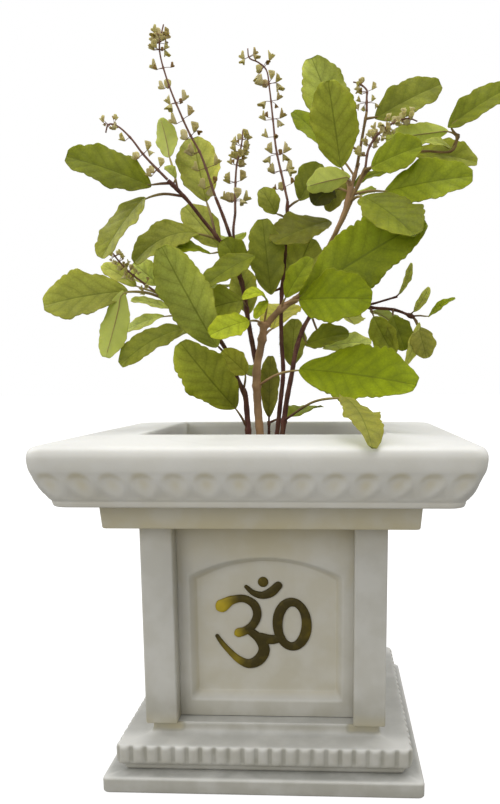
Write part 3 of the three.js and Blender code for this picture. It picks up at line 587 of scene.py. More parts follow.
@dataclass(frozen=True)
class FloorFinish:
    """Plain studio floor that looks white, and blends into the white behind it."""

    base: Colour = (0.3, 0.3, 0.3)
    near_glow: float = 0.9
    far_glow: float = 1.0
    blend_metres: Pair = (0.25, 1.6)

    def material(self) -> bpy.types.Material:
        """Builds the material: a glow for the camera alone, stronger far from the middle."""
        graph = Graph("studio_floor")
        length = graph.tree.nodes.new("ShaderNodeVectorMath")
        length.operation = "LENGTH"
        graph.tree.links.new(graph.object_place, length.inputs[0])
        glow = graph.ramp(length.outputs["Value"], *self.blend_metres, self.near_glow, self.far_glow)
        seen = graph.tree.nodes.new("ShaderNodeLightPath").outputs["Is Camera Ray"]
        graph.tree.links.new(graph.times(glow, seen), graph.shader.inputs["Emission Strength"])
        return graph.finish(self.base, 0.8, specular_ior_level=0.0, emission_color=(1.0, 1.0, 1.0, 1.0))


# ------------------------------------------------------------------ marble pot


@dataclass(frozen=True)
class SquareOutline:
    """A square with round corners, from its -Y side counterclockwise seen from above.

    Each point has a share `a` along its side and an angle `turn` into the corner after it:
    it stands half - corner + corner cos(turn) out, and a (half - corner) + corner sin(turn)
    along.
    """

    side_steps: int
    corner_steps: int = 4

    def layout(self) -> tuple[Array, Array, Array, Array]:
        """Returns a, turn, and the unit vectors out of and along the side, per point."""
        straight = np.linspace(-1, 1, self.side_steps + 1)
        bend = quarter_turn(self.corner_steps + 1)[1:-1]
        a = np.concatenate([straight, np.ones_like(bend)])
        turn = np.concatenate([np.zeros_like(straight), bend])
        out, along = [], []
        for side in range(4):
            angle = (side - 1) * math.pi / 2
            out.append(np.broadcast_to([math.cos(angle), math.sin(angle)], (len(a), 2)))
            along.append(np.broadcast_to([-math.sin(angle), math.cos(angle)], (len(a), 2)))
        return np.tile(a, 4), np.tile(turn, 4), np.concatenate(out), np.concatenate(along)

    def rings(self, profile: Array, corner: float | Array, rise: Array | float = 0.0) -> Array:
        """The outline swept through a profile.

        Args:
            profile: half-width and height per ring.
            corner: the corner radius, or one per ring.
            rise: how far points stand out past the outline, per ring and point.
        """
        a, turn, out, along = self.layout()
        half, height = profile[:, :1], profile[:, 1:]
        radius = np.minimum(np.reshape(corner, (-1, 1)) * np.ones_like(half), half)
        reach = half - radius + radius * np.cos(turn) + rise * np.cos(turn)
        aside = a * (half - radius) + (radius + rise) * np.sin(turn)
        flat = reach[..., None] * out + aside[..., None] * along
        return np.concatenate([flat, np.broadcast_to(height[..., None], (*reach.shape, 1))], axis=-1)

    def aside(self, profile: Array, corner: float) -> Array:
        """How far each point lies from the middle of its side, up to half way round a corner."""
        a, turn, _, _ = self.layout()
        flat = profile[:, :1] - corner
        past = turn > math.pi / 4 + TINY
        return np.where(past, -flat - corner * (math.pi / 2 - turn), a * flat + corner * turn)


def evenly(points: list[Pair], step: float) -> Array:
    """A polyline's points at even distances of about step, keeping every corner."""
    corners = np.array(points, float)
    pieces = [
        np.linspace(a, b, max(1, round(np.linalg.norm(b - a) / step)), endpoint=False)
        for a, b in zip(corners[:-1], corners[1:])
    ]
    return np.concatenate([*pieces, corners[-1:]])


@dataclass(frozen=True)
class PetalRow:
    """The carved lotus petals on the rim's slope.

    With p the share across a petal and q the share up it, e^power is |p / half|^power +
    fall^power, where fall is (shoulder - q) / narrowing below the shoulder and 0 above. The
    petal's ridge follows e = 0.95, its hollow deepens upward and ends at an arch, where
    q + 0.25 (p / half)^2 is 1, and the corners between two petals are sunk. Stains and painted
    shadow lie along that arch, with a yellow stained spot below it; painted shade darkens the corners.
    """

    count: int = 14
    low: float = 170.4
    high: float = 183.9
    half: float = 0.43
    power: float = 1.5
    shoulder: float = 0.62
    narrowing: float = 0.6
    hollow_depth: float = 0.85
    ridge_height: float = 0.36
    corner_depth: float = 0.3
    field_depth: float = 0.3
    # stains with painted shadow along each hollow's top arch
    arch_stain_and_shadow: float = 0.34
    spot_stain: float = 0.32
    # grey painted shadow along that arch
    arch_shadow: float = 0.18
    # painted shade in the sunk corners between petals
    corner_shade: float = 0.16

    def relief(self, across: Array, height: Array) -> tuple[Array, Array, Array]:
        """Relief, stains and painted shade of the petals.

        Args:
            across: how many petals each point lies from the middle of its side.
            height: the height of each ring.

        Returns:
            How far each point stands out, its stains with warm painted shadow, and its grey painted shade.
        """
        p = np.abs(np.mod(across + self.count / 2, 1.0) - 0.5)
        q = (height - self.low) / (self.high - self.low)
        fall = np.clip((self.shoulder - q) / self.narrowing, 0, None)
        e = ((p / self.half) ** self.power + fall**self.power) ** (1 / self.power)
        inside = smooth(-0.1, 0.06, q) * smooth(1.06, 0.86, q)
        roof = q + 0.25 * (p / self.half) ** 2
        hollow = smooth(0.0, 0.75, 1 - e) * smooth(0.0, 0.85, q) * smooth(1.04, 0.8, roof)
        ridge = np.exp(-(((e - 0.95) / 0.14) ** 2)) * smooth(1.0, 0.75, q)
        corner = smooth(1.1, 1.4, e) * smooth(0.75, 0.3, q)
        rise = -self.hollow_depth * hollow + self.ridge_height * ridge
        rise = (rise - self.corner_depth * corner - self.field_depth) * inside
        # painted shadow and stains along each hollow's top arch, a yellow stained spot below it
        arch = np.exp(-((p / 0.33) ** 4) - ((roof - 0.93) / 0.1) ** 2)
        spot = np.exp(-((p / 0.18) ** 2) - ((q - 0.58) / 0.24) ** 2)
        stain = self.arch_stain_and_shadow * arch + self.spot_stain * spot
        return rise, stain, self.arch_shadow * arch + self.corner_shade * corner * inside


@dataclass(frozen=True)
class StainAndShade:
    """How much of the stains, dust and painted shade the places of the pot take, where 1 covers the marble.
    """

    # the next two: painted shade, warm and grey, on faces that look sideways or down
    side_warm_shade: float = 0.15
    side_shade: float = 0.2
    # painted shade near the floor
    low_shade: float = 0.44
    plain_grime: float = 0.12
    # painted shadow on the slab's ledge round the plinth
    slab_ledge_shadow: float = 0.72
    # painted shade between the ribs
    rib_gap_shade: float = 0.4
    # painted shadow on the plinth's ledge above the ribs
    rib_ledge_shadow: float = 0.5
    # takes the painted shade near the floor off the foot
    foot_shade_cut: float = 0.3
    post_seat_stain: float = 0.3
    # painted shadow under the posts
    post_seat_shadow: float = 1.1
    wall_stain: float = 0.05
    # stains with painted shadow at the walls' tops, under the collar
    wall_top_stain_and_shadow: float = 0.45
    # warm painted shade in the panels' sloping edges
    panel_slope_shade: float = 0.25
    post_foot_stain: float = 0.35
    # painted shadow at the posts' tops, under the collar
    post_top_shadow: float = 0.2
    post_grime: float = 0.24
    # the next three: warm painted shade on the collar and on the rim's lower belly
    collar_warm_shade: float = 0.42
    collar_low_shade: float = 0.15
    rim_low_shade: float = 0.12


@dataclass
class MarblePot:
    """The pot: bottom slab, ribbed plinth, box with arched panels, posts, collar and rim."""

    finish: MarbleFinish = field(default_factory=MarbleFinish)
    slab_half: float = 90.2
    slab_top: float = 9.2
    slab_edge: float = 1.5
    slab_corner: float = 3.0
    slab_top_halves: tuple[float, ...] = (87.2, 85.7, 84.2, 82.0, 78.0)  # rings on its top
    # the painted shadow on the slab's top ledge begins and is full at these distances
    ledge_inward: Pair = (91.0, 86.5)
    ledge_aside: Pair = (88.0, 80.0)
    plinth_half: float = 82.7
    plinth_bottom: float = 9.5
    plinth_corner: float = 1.5
    rib_bottom: float = 14.2
    rib_top: float = 25.3
    rib_end: float = 1.8
    rib_depth: float = 1.6
    rib_halves: float = 2.7  # half-widths of a rib in a pitch
    ribs: int = 21
    foot_half: float = 66.0
    foot_top: float = 31.8
    body_half: float = 57.4
    body_bottom: float = 32.1
    body_top: float = 150.2
    cavity_half: float = 44.0
    cavity_floor: float = 38.5
    # the walls' outer edge: inset across, inset at the ends and depth
    wall_edge: tuple[Point, ...] = ((0.5, 0.0, 0.5), (0.5, 0.15, 0.15), (0.8, 0.5, 0.0))
    panel_half: float = 41.0
    panel_sill: float = 45.5
    panel_spring: float = 114.0
    panel_apex: float = 125.0
    panel_depth: float = 7.0
    panel_slope: float = 3.5
    # the panel's sloping edge: shares of the slope and of the depth
    panel_edge: tuple[Pair, ...] = (
        (1.3, 0.0), (1.05, 0.02), (0.9, 0.1), (0.5, 0.5), (0.12, 0.88), (0.0, 0.97), (-0.2, 1.0), (-1.0, 1.0),
    )
    # steps along the sill, up each side and over the arch
    panel_steps: tuple[int, int, int] = (28, 28, 36)
    post_outer: float = 69.4
    post_inner: float = 51.0
    post_corner: float = 1.2
    # a post's rounded end: inset and distance from the end
    post_end: tuple[Pair, ...] = ((0.9, 0.0), (0.25, 0.25), (0.0, 0.9))
    collar_bottom: float = 150.5
    collar_top: float = 164.8
    collar_corner: float = 1.5
    rim_bottom: float = 165.1
    rim_hole: float = 67.5
    rim_corner: float = 8.0
    belly_half: float = 104.0  # past it lies the belly, which alone has petals, stains and painted shade
    outside_half: float = 80.0  # collar and rim have their outer faces past this half-width
    petals: PetalRow = field(default_factory=PetalRow)
    age: StainAndShade = field(default_factory=StainAndShade)

    def build(self) -> None:
        """Builds and places every marble piece."""
        marble = self.finish.material()
        shells = {
            "base_slab": self.slab(), "dentil_slab": self.plinth(), "pot_body": self.body(),
            "collar": self.collar(), "rim": self.rim(),
        }
        for depth_name, sign_y in (("front", -1), ("back", 1)):
            for side_name, sign_x in (("left", -1), ("right", 1)):
                shells[f"corner_post_{depth_name}_{side_name}"] = self.post(sign_x, sign_y)
        for node, shell in shells.items():
            piece = shell.build(f"{node}_marble", marble)
            self._paint_shade(piece.data)
            place(piece, "marble", node)

    def _paint_shade(self, mesh: bpy.types.Mesh) -> None:
        """Paints shade on what looks sideways or down, and on what stands low.

        Warm painted shade grows by side_warm_shade (1 - up), grey painted shade by side_shade (1 - up)
        and near the floor by low_shade (1 - 0.75 up). The hollow inside the rim gets none of it.
        """
        count = len(mesh.vertices)
        normals, places = np.empty(3 * count, np.float32), np.empty(3 * count, np.float32)
        mesh.vertex_normals.foreach_get("vector", normals)
        mesh.vertices.foreach_get("co", places)
        x, y, z = places.reshape(-1, 3).T / MM
        inside = (np.maximum(np.abs(x), np.abs(y)) < self.rim_hole + 0.5) & (z > self.collar_top)
        up = np.clip(normals[2::3], 0, 1)
        aside = (1 - up) * ~inside
        low = smooth(60.0, 32.0, z) * (1 - 0.75 * up)
        # painted shade: warm and grey on faces that look sideways or down, grey near the floor
        shade_marks = {
            "stain": self.age.side_warm_shade * aside,
            "grime": self.age.side_shade * aside + self.age.low_shade * low,
        }
        for name, shade_mark in shade_marks.items():
            mark = mesh.attributes.get(name) or mesh.attributes.new(name, "FLOAT", "POINT")
            values = np.zeros(count, np.float32)
            mark.data.foreach_get("value", values)
            mark.data.foreach_set("value", (values + shade_mark).astype(np.float32))

    def slab(self) -> Shell:
        """The bottom slab: a square swept through a profile with quarter-round edges.

        Painted shadow darkens the ledge round the plinth, and fades to the slab's edge and corners.
        """
        edge, bend = self.slab_edge, quarter_turn(6)
        low = np.stack([self.slab_half - edge + edge * np.sin(bend), edge - edge * np.cos(bend)], axis=1)
        high = np.stack([low[::-1, 0], self.slab_top - low[::-1, 1]], axis=1)
        profile = np.vstack([low, high, [(half, self.slab_top) for half in self.slab_top_halves]])
        outline = SquareOutline(24)
        half, height = profile[:, :1], profile[:, 1:]
        aside = np.abs(outline.aside(profile, self.slab_corner))
        # painted shadow on the slab's top round the plinth
        ledge = smooth(*self.ledge_inward, half) * (height > self.slab_top / 2)
        grime = self.age.slab_ledge_shadow * ledge * smooth(*self.ledge_aside, aside) + self.age.plain_grime
        return Shell().loft(outline.rings(profile, self.slab_corner), stain=0.0, grime=grime)

    def plinth(self) -> Shell:
        """The ribbed slab with its low foot.

        Each rib rises by rib_depth sqrt(1 - (rib_halves p)^2), p its share across. Painted shade lies
        between the ribs, painted shadow on the ledge above them and, with yellow stains, at the feet of the
        posts.
        """
        face, foot = self.plinth_half, self.foot_half
        profile = evenly([
            (79.3, self.plinth_bottom), (79.7, 10.8), (80.4, 12.4), (82.0, 13.8), (face, 14.4), (face, 24.9),
            (82.4, self.rib_top), (81.6, 25.5), (69.5, 25.6), (67.4, 26.1), (66.3, 27.3), (foot, 28.8),
            (foot, 31.3), (65.6, self.foot_top), (60.0, self.foot_top),
        ], 1.0)
        outline = SquareOutline(self.ribs * 10)
        aside = outline.aside(profile, self.plinth_corner)
        p = np.mod(aside / (2 * face / self.ribs) + self.ribs / 2, 1.0) - 0.5
        half, height = profile[:, :1], profile[:, 1:]
        on_face = (half > face - 1.2) & (np.abs(aside) < face - 0.2)
        above = np.clip((height - self.rib_bottom) / self.rib_end, 0, 1)
        ends = above * np.clip((self.rib_top - height) / self.rib_end, 0, 1)
        round_share = np.sqrt(np.clip(1 - (self.rib_halves * p) ** 2, 0, 1))
        rise = self.rib_depth * round_share * np.sqrt(ends) * on_face
        on_foot = smooth(25.9, 28.5, height) * (half > foot - 1)
        under_posts = on_foot * smooth(46, 50, np.abs(aside))
        # painted shade between the ribs, painted shadow on the ledge above them, less painted shade on the
        # foot
        gap_shade = self.age.rib_gap_shade * smooth(0.33, 0.4, np.abs(p)) * on_face * ends
        plinth_ledge_shadow = smooth(76, 62, np.abs(aside)) * (height > 25.2) * (half < 82.5)
        grime = gap_shade + self.age.rib_ledge_shadow * plinth_ledge_shadow - self.age.foot_shade_cut * on_foot
        rings = outline.rings(profile, self.plinth_corner, rise)
        # yellow stains at the posts' seats, with painted shadow from the posts' overhang
        return Shell().loft(
            rings, stain=self.age.post_seat_stain * under_posts,
            grime=grime + self.age.post_seat_shadow * under_posts,
        )

    def _arch(self, grow: float) -> Array:
        """The panel's outline in x and z, grown by grow: sill, right side, arc, left side."""
        across, upright, over = self.panel_steps
        half = self.panel_half + grow
        sill, apex = self.panel_sill - grow, self.panel_apex + grow
        drop = self.panel_apex - self.panel_spring
        radius = (half * half + drop * drop) / (2 * drop)
        reach = math.asin(half / radius)
        angles = np.linspace(math.pi / 2 - reach, math.pi / 2 + reach, over, endpoint=False)
        arc = np.stack([radius * np.cos(angles), apex - radius + radius * np.sin(angles)], axis=1)
        shoulder = float(arc[0, 1])
        bottom = np.linspace((-half, sill), (half, sill), across, endpoint=False)
        right = np.linspace((half, sill), (half, shoulder), upright, endpoint=False)
        left = np.linspace((-half, shoulder), (-half, sill), upright, endpoint=False)
        return np.concatenate([bottom, right, arc, left])

    def _box(self, half: float, low: float, high: float) -> Array:
        """A rectangle in x and z with as many points a side as the arch has."""
        across, upright, over = self.panel_steps
        corners = [(-half, low), (half, low), (half, high), (-half, high), (-half, low)]
        sides = zip(corners[:-1], corners[1:], (across, upright, over, upright))
        return np.concatenate([np.linspace(a, b, steps, endpoint=False) for a, b, steps in sides])

    def body(self) -> Shell:
        """The box: four mitred walls, each lofted from its back to its sunk panel, and a floor."""
        low, high, face = self.body_bottom, self.body_top, self.body_half
        loops = [(self._box(self.cavity_half, low, high), face - self.cavity_half)]
        loops += [
            (self._box(face - inset, low + end, high - end), sunk) for inset, end, sunk in self.wall_edge
        ]
        loops += [
            (self._arch(self.panel_slope * grow), self.panel_depth * share) for grow, share in self.panel_edge
        ]
        flat = np.stack([
            np.concatenate([loop[:, :1], np.full((len(loop), 1), sunk - face), loop[:, 1:]], axis=1)
            for loop, sunk in loops
        ])
        # painted shadow with stains at the walls' tops under the collar, warm painted shade in the panels'
        # sloping edges
        near_top = smooth(high - 27, high - 17, flat[..., 2])
        in_slope = np.exp(-(((flat[..., 1] + face - self.panel_depth * 0.8) / 2.0) ** 2))
        stain = self.age.wall_stain + self.age.wall_top_stain_and_shadow * near_top
        stain = stain + self.age.panel_slope_shade * in_slope
        shell = Shell()
        for side in range(4):
            c, s = math.cos(side * math.pi / 2), math.sin(side * math.pi / 2)
            turned = flat @ np.array([[c, s, 0], [-s, c, 0], [0, 0, 1]])
            shell.loft(turned, stain=stain, grime=self.age.plain_grime)
        hole = self.cavity_half - 0.1
        floor = np.array([(hole, low), (hole, self.cavity_floor)])
        return shell.loft(SquareOutline(4).rings(floor, 0.5), stain=0.0)

    def post(self, sign_x: int, sign_y: int) -> Shell:
        """A corner pilaster: an L-shaped outline with round edges, carried up the body."""
        outer, inner, notch, soft = self.post_outer, self.post_inner, self.body_half + GAP, self.post_corner
        outline = [np.array([corner]) for corner in ((inner, notch), (notch, notch), (notch, inner))]
        rounded = ((outer, inner), (outer, outer), (inner, outer))
        for (x, y), start in zip(rounded, (-math.pi / 2, 0.0, math.pi / 2)):
            angles = start + quarter_turn(5)
            middle = np.array([x + (soft if x == inner else -soft), y + (soft if y == inner else -soft)])
            outline.append(middle + soft * np.stack([np.cos(angles), np.sin(angles)], axis=1))
        flat = np.concatenate(outline)
        hub = np.array([(outer + notch) / 2] * 2)
        low, high = self.body_bottom, self.body_top
        stations = [(inset, low + end) for inset, end in self.post_end]
        stations += [(0.0, z) for z in np.linspace(low + 8, high - 8, 12)]
        stations += [(inset, high - end) for inset, end in reversed(self.post_end)]
        away = np.linalg.norm(flat - hub, axis=1, keepdims=True)
        rings = np.stack([
            np.concatenate([flat + (hub - flat) * inset / away, np.full((len(flat), 1), z)], axis=1)
            for inset, z in stations
        ]) * (sign_x, sign_y, 1)
        if sign_x * sign_y < 0:
            rings = rings[:, ::-1]
        bottom, top = (np.array([hub[0] * sign_x, hub[1] * sign_y, z]) for z in (low, high))
        stain = self.age.post_foot_stain * np.exp(-((rings[..., 2] - low) / 3.0))
        # painted shadow at the post's top, under the collar
        stain = stain + self.age.post_top_shadow * smooth(high - 14, high, rings[..., 2])
        return Shell().loft(rings, centres=(bottom, top), stain=stain, grime=self.age.post_grime)

    def collar(self) -> Shell:
        """The plain slab between body and rim: a closed profile swept round a square."""
        low, high, hole = self.collar_bottom, self.collar_top, self.cavity_half
        profile = evenly([
            (hole, low), (84.4, low), (85.0, low + 0.2), (85.4, low + 0.9), (86.35, high - 1.4),
            (86.3, high - 0.6), (85.9, high - 0.15), (85.2, high), (hole, high),
        ], 4.0)
        corner = np.where(profile[:, 0] > self.outside_half, self.collar_corner, 0.6)
        rings = SquareOutline(24).rings(profile, corner)
        # warm painted shade all over the collar under the rim's overhang, stronger at its lower edge
        stain = self.age.collar_warm_shade + self.age.collar_low_shade * smooth(low + 8, low, rings[..., 2])
        return Shell().loft(rings, closed=True, stain=stain)

    def rim(self) -> Shell:
        """The wide top: a bellied profile swept round a square, with petals on its slope."""
        outer = Route([
            (103, 0, self.rim_bottom), (105.4, 0, 165.6), (106.1, 0, 167.2), (106.4, 0, 168.6),
            (108.1, 0, 170.4), (111.7, 0, 177.4), (114.1, 0, 184.0), (114.86, 0, 188.4),
            (114.82, 0, 192.6), (113.5, 0, 195.6), (110.7, 0, 197.0), (107.0, 0, 197.5),
        ])
        belly = outer.at(np.linspace(0, 1, 61))[:, [0, 2]]
        top = evenly([
            (107.0, 197.5), (90.0, 198.5), (72.0, 199.6), (68.8, 199.95), (67.8, 199.6),
            (self.rim_hole, 199.0), (self.rim_hole, self.rim_bottom),
        ], 3.0)
        profile = np.vstack([belly, top[1:]])
        half, height = profile[:, :1], profile[:, 1:]
        outline = SquareOutline(self.petals.count * 12, 10)
        aside = outline.aside(profile, self.rim_corner)
        reach = half - self.rim_corner * (1 - math.pi / 4)
        rise, stain, grime = self.petals.relief(aside / reach * self.petals.count / 2, height)
        on_belly = half > self.belly_half
        # warm painted shade on the lower belly, which faces down
        stain = stain + smooth(self.petals.high, self.rim_bottom, height) * self.age.rim_low_shade
        corner = np.where(profile[:, 0] > self.outside_half, self.rim_corner, 2.0)
        rings = outline.rings(profile, corner, rise * on_belly)
        return Shell().loft(rings, closed=True, stain=stain * on_belly, grime=grime * on_belly)


# ------------------------------------------------------------------ Om sign


@dataclass
class OmSign:
    """The traditional Om sign: brush strokes with a domed face, on the front panel."""

    finish: MetalFinish = field(default_factory=MetalFinish)
    back: float = -50.7
    thickness: float = 1.3
    # each stroke: x, z and the width of the stroke there
    upper: tuple[Point, ...] = (
        (-26.3, 97.8, 8), (-20.3, 101.3, 5.4), (-13.2, 102.2, 4.5), (-7.3, 98.6, 5.1),
        (-5.6, 92.5, 5.1), (-8.1, 86.4, 5.1), (-12.9, 82.6, 5.1), (-16.5, 81.4, 5.7),
    )
    lower: tuple[Point, ...] = (
        (-11.1, 83.3, 4.5), (-4.6, 77.8, 5.7), (-1.7, 71, 6.8), (-4.8, 64.8, 6.8),
        (-10.8, 62.2, 5.7), (-16.7, 64.6, 4.5), (-22.6, 70.1, 3.4), (-27.3, 75.7, 2.8),
        (-29.6, 79.3, 2.3),
    )
    bridge: tuple[Point, ...] = ((-3.8, 78.6, 5.7), (3.1, 77.3, 5.7), (8.4, 78.5, 5.1))
    crescent: tuple[Point, ...] = (
        (-11.9, 109.5, 2.3), (-7.8, 105.9, 3.4), (-2.5, 104.4, 4.5), (2.8, 106.3, 5.7),
        (6.9, 110.2, 5.1),
    )
    loop_centre: Pair = (15.0, 86.8)
    loop_outer: Pair = (11.4, 16.6)
    loop_inner: Pair = (5.8, 10.6)
    dot_centre: Pair = (-1.9, 112.4)
    dot_half: float = 3.1
    # each patch of painted golden reflection: x, z, its reach and its share of gold
    reflection_patches: tuple[tuple[float, float, float, float], ...] = (
        (-27, 97.5, 6.8, 1.1), (-18, 81, 4.0, 0.8), (-25, 72, 5.0, 0.25), (-19, 65, 4.5, 0.5),
        (26, 82, 7.0, 0.12),
    )

    def build(self) -> None:
        """Builds and places the letter, the crescent and the dot."""
        metal = self.finish.material()
        letter, crescent, dot = Shell(), Shell(), Shell()
        for stroke in (self.upper, self.lower, self.bridge):
            self._stroke(letter, stroke)
        self._loop(letter)
        self._stroke(crescent, self.crescent)
        self._dot(dot)
        for part, shell in (("letter", letter), ("crescent", crescent), ("dot", dot)):
            place(shell.build(f"om_{part}_brass", metal), "om_metal", f"om_{part}")

    def _dot(self, shell: Shell) -> None:
        """Adds the dot: rings of half-width dot_half cos(turn)^0.7 that rise by its sine."""
        turn = quarter_turn(7)[:-1, None]
        around = even_turns(28)
        wide = self.dot_half * np.cos(turn) ** 0.7
        x, z = self.dot_centre
        rings = np.stack([
            x + wide * np.cos(around), self.back - self.thickness * np.sin(turn) * np.ones_like(around),
            z + wide * np.sin(around),
        ], axis=-1)
        # a little painted golden reflection on the dot
        shell.loft(rings, gold=0.1)

    def _section(self, middle: Array, along: Array, half: Array) -> Array:
        """Domed sections: half cos a across and thickness sin(a)^0.6 out, over a flat back."""
        out = np.array([0.0, -1.0, 0.0])
        across = np.cross(out, along)
        angles = np.linspace(0, math.pi, 13)
        lift = self.thickness * np.sin(angles) ** 0.6
        dome = np.cos(angles)[None, :, None] * (half[:, None, None] * across[:, None])
        return middle[:, None] + dome + lift[None, :, None] * out

    def _reflection_share(self, rings: Array) -> Array:
        """How much painted golden reflection the sign shows: each patch adds share exp(-distance^2 /
        reach^2).
        """
        x, z = rings[..., 0], rings[..., 2]
        return sum(
            share * np.exp(-((x - px) ** 2 + (z - pz) ** 2) / (reach * reach))
            for px, pz, reach, share in self.reflection_patches
        )

    def _stroke(self, shell: Shell, stations: tuple[Point, ...]) -> None:
        """Adds a brush stroke along its middle line, with half-round ends."""
        path = Route(stations)
        shares = np.linspace(0, 1, 10 * len(stations))
        data = path.at(shares)
        middle = np.stack([data[:, 0], np.full(len(data), self.back), data[:, 1]], axis=1)
        lean = path.along(shares)
        along = unit(np.stack([lean[:, 0], np.zeros(len(data)), lean[:, 1]], axis=1))
        half = data[:, 2] / 2
        bend = quarter_turn(6)[1:]
        head = middle[:1] - along[:1] * (half[0] * np.sin(bend[::-1]))[:, None]
        tail = middle[-1:] + along[-1:] * (half[-1] * np.sin(bend))[:, None]
        middle = np.vstack([head, middle, tail])
        first, last = np.repeat(along[:1], len(bend), 0), np.repeat(along[-1:], len(bend), 0)
        along = np.vstack([first, along, last])
        soft = np.maximum(np.cos(bend), 0.03)
        half = np.concatenate([half[0] * soft[::-1], half, half[-1] * soft])
        rings = self._section(middle, along, half)
        shell.loft(rings, gold=self._reflection_share(rings))

    def _loop(self, shell: Shell) -> None:
        """Adds the closed loop of the letter: the section carried round an ellipse."""
        angles = even_turns(64)
        outer, inner = np.array(self.loop_outer), np.array(self.loop_inner)
        wide = (outer + inner) / 2
        spin = np.stack([np.cos(angles), np.sin(angles)], axis=1)
        flat = np.array(self.loop_centre) + wide * spin
        slope = unit(np.stack([-wide[0] * spin[:, 1], wide[1] * spin[:, 0]], axis=1))
        middle = np.stack([flat[:, 0], np.full(len(flat), self.back), flat[:, 1]], axis=1)
        along = np.stack([slope[:, 0], np.zeros(len(flat)), slope[:, 1]], axis=1)
        half = (outer[0] - inner[0]) / 2 * (1 + 0.12 * np.cos(2 * angles + 1.0))
        rings = self._section(middle, along, half)
        shell.loft(rings, closed=True, gold=self._reflection_share(rings))


# ------------------------------------------------------------------ soil


@dataclass
class PottingSoil:
    """Soil that fills the pot, lumpy on top, with crumbs and a few white grains on it."""

    finish: SoilFinish = field(default_factory=SoilFinish)
    half: float = 67.2
    top: float = 186.0
    ledge: float = 165.1
    plug_half: float = 43.7
    plug_bottom: float = 38.8
    crumbs: int = 620
    crumb_margin: float = 4.0
    white_every: int = 17
    seed: int = 17
    damp: Colour = linear(54, 38, 27)
    pale: Colour = linear(196, 188, 172)

    def surface(self, x: Array, y: Array) -> Array:
        """Height of the soil: two random fields of 26 mm and 8 mm waves, flatter at the stems."""
        spots = np.stack([x, y, np.zeros_like(x)], axis=-1)
        calm = smooth(10, 40, np.hypot(x, y))
        return self.top - 0.6 + (0.2 + 0.8 * calm) * (0.55 * waves(spots, 26, 3) + 0.3 * waves(spots, 8, 4))

    def build(self) -> None:
        """Builds and places the soil and its crumbs as one piece."""
        sides = [(self.plug_half, self.plug_bottom), (self.plug_half, self.ledge), (self.half, self.ledge)]
        top = [(self.half - inset, self.top - 0.5) for inset in np.linspace(0, 66.5, 46)]
        profile = np.array(sides + top)
        rings = SquareOutline(40, 3).rings(profile, np.minimum(2.0, profile[:, 0] / 2))
        rings[len(sides), :, 2] = self.top - 1.2
        lumpy = rings[len(sides) + 1 :]
        lumpy[..., 2] = self.surface(lumpy[..., 0], lumpy[..., 1])
        shell = Shell().loft(rings, self.damp)
        self._scatter(shell)
        place(shell.build("soil_crumbly", self.finish.material()), "soil", "soil")

    def _scatter(self, shell: Shell) -> None:
        """Adds crumbs: small spheres pushed in and out at random, sunk by half."""
        random = np.random.default_rng(self.seed)
        lift = np.linspace(-1.2, 1.2, 5)[:, None]
        around = even_turns(7)
        ball = np.stack([
            np.cos(lift) * np.cos(around), np.cos(lift) * np.sin(around), np.sin(lift) * np.ones_like(around)
        ], axis=-1)
        reach = self.half - self.crumb_margin
        for number in range(self.crumbs):
            x, y = random.uniform(-reach, reach, 2)
            size = random.uniform(0.5, 1.7)
            lumps = size * (1 + random.uniform(-0.3, 0.3, ball.shape[:2]))[..., None]
            spot = np.array([x, y, float(self.surface(np.array(x), np.array(y))) + 0.2 * size])
            colour, brightest = (self.damp, 1.5) if number % self.white_every else (self.pale, 1.0)
            tint = np.array(colour) * random.uniform(0.7, brightest)
            shell.loft(spot + ball * lumps, tuple(tint))


# ------------------------------------------------------------------ shoots with their leaves


class Tone(Enum):
    """Colours of the leaves' upper faces, set leaf by leaf so that they also hold painted light and shade."""

    # painted shade, for leaves in the shadow of others
    SHADE = linear(58, 58, 7)
    DUSKY = linear(105, 106, 25)
    DARK = linear(118, 125, 28)
    MOSS = linear(125, 138, 7)
    DEEP = linear(131, 136, 46)
    BRONZE = linear(130, 135, 65)
    IVY = linear(134, 145, 27)
    FERN = linear(140, 139, 57)
    MID = linear(147, 150, 59)
    OLIVE = linear(152, 157, 53)
    GRASS = linear(160, 160, 55)
    SAGE = linear(157, 164, 71)
    YOUNG = linear(177, 188, 45)
    LIGHT = linear(181, 183, 86)
    PEAR = linear(208, 202, 85)
    # painted glow, for leaves with light coming through them
    GLOW = linear(209, 218, 118)


class Bark(Enum):
    """Colours of the stems and leaf stalks."""

    PURPLE = linear(92, 54, 46)
    BROWN = linear(178, 144, 106)
    DUSK = linear(138, 112, 70)
    STALK = linear(164, 150, 88)


@dataclass(frozen=True)
class Branch:
    """A stem through its points, tapering from its first to its last radius."""

    path: tuple[Point, ...]
    start: float
    end: float
    bark: Bark = Bark.PURPLE

    def radius(self, share: Array) -> Array:
        """The stem's radius at shares of its curve."""
        return self.start + (self.end - self.start) * share


@dataclass(frozen=True)
class Leaf:
    """A leaf: where its stalk leaves its branch, and its blade's base, tip, width and face."""

    on: str
    at: float
    base: Point
    tip: Point
    width: float
    face: Point
    tone: Tone
    arch: float = 2.0
    painted_lit_side: int = 0  # painted light: -1 or 1 makes the half on that side of the midrib lighter

    def frame(self) -> tuple[Array, Array, float, Array, Array]:
        """Returns the blade's start, direction, length, normal and direction across."""
        start = np.array(self.base, float)
        along = np.array(self.tip, float) - start
        length = float(np.linalg.norm(along))
        along /= length
        normal = np.array(self.face, float)
        normal = unit(normal - (normal @ along) * along)
        return start, along, length, normal, np.cross(normal, along)

    def rise(self, t: Array | float) -> Array | float:
        """How far the midrib arches up at a share t of the blade: 4 arch t (1 - t)."""
        return self.arch * 4 * t * (1 - t)


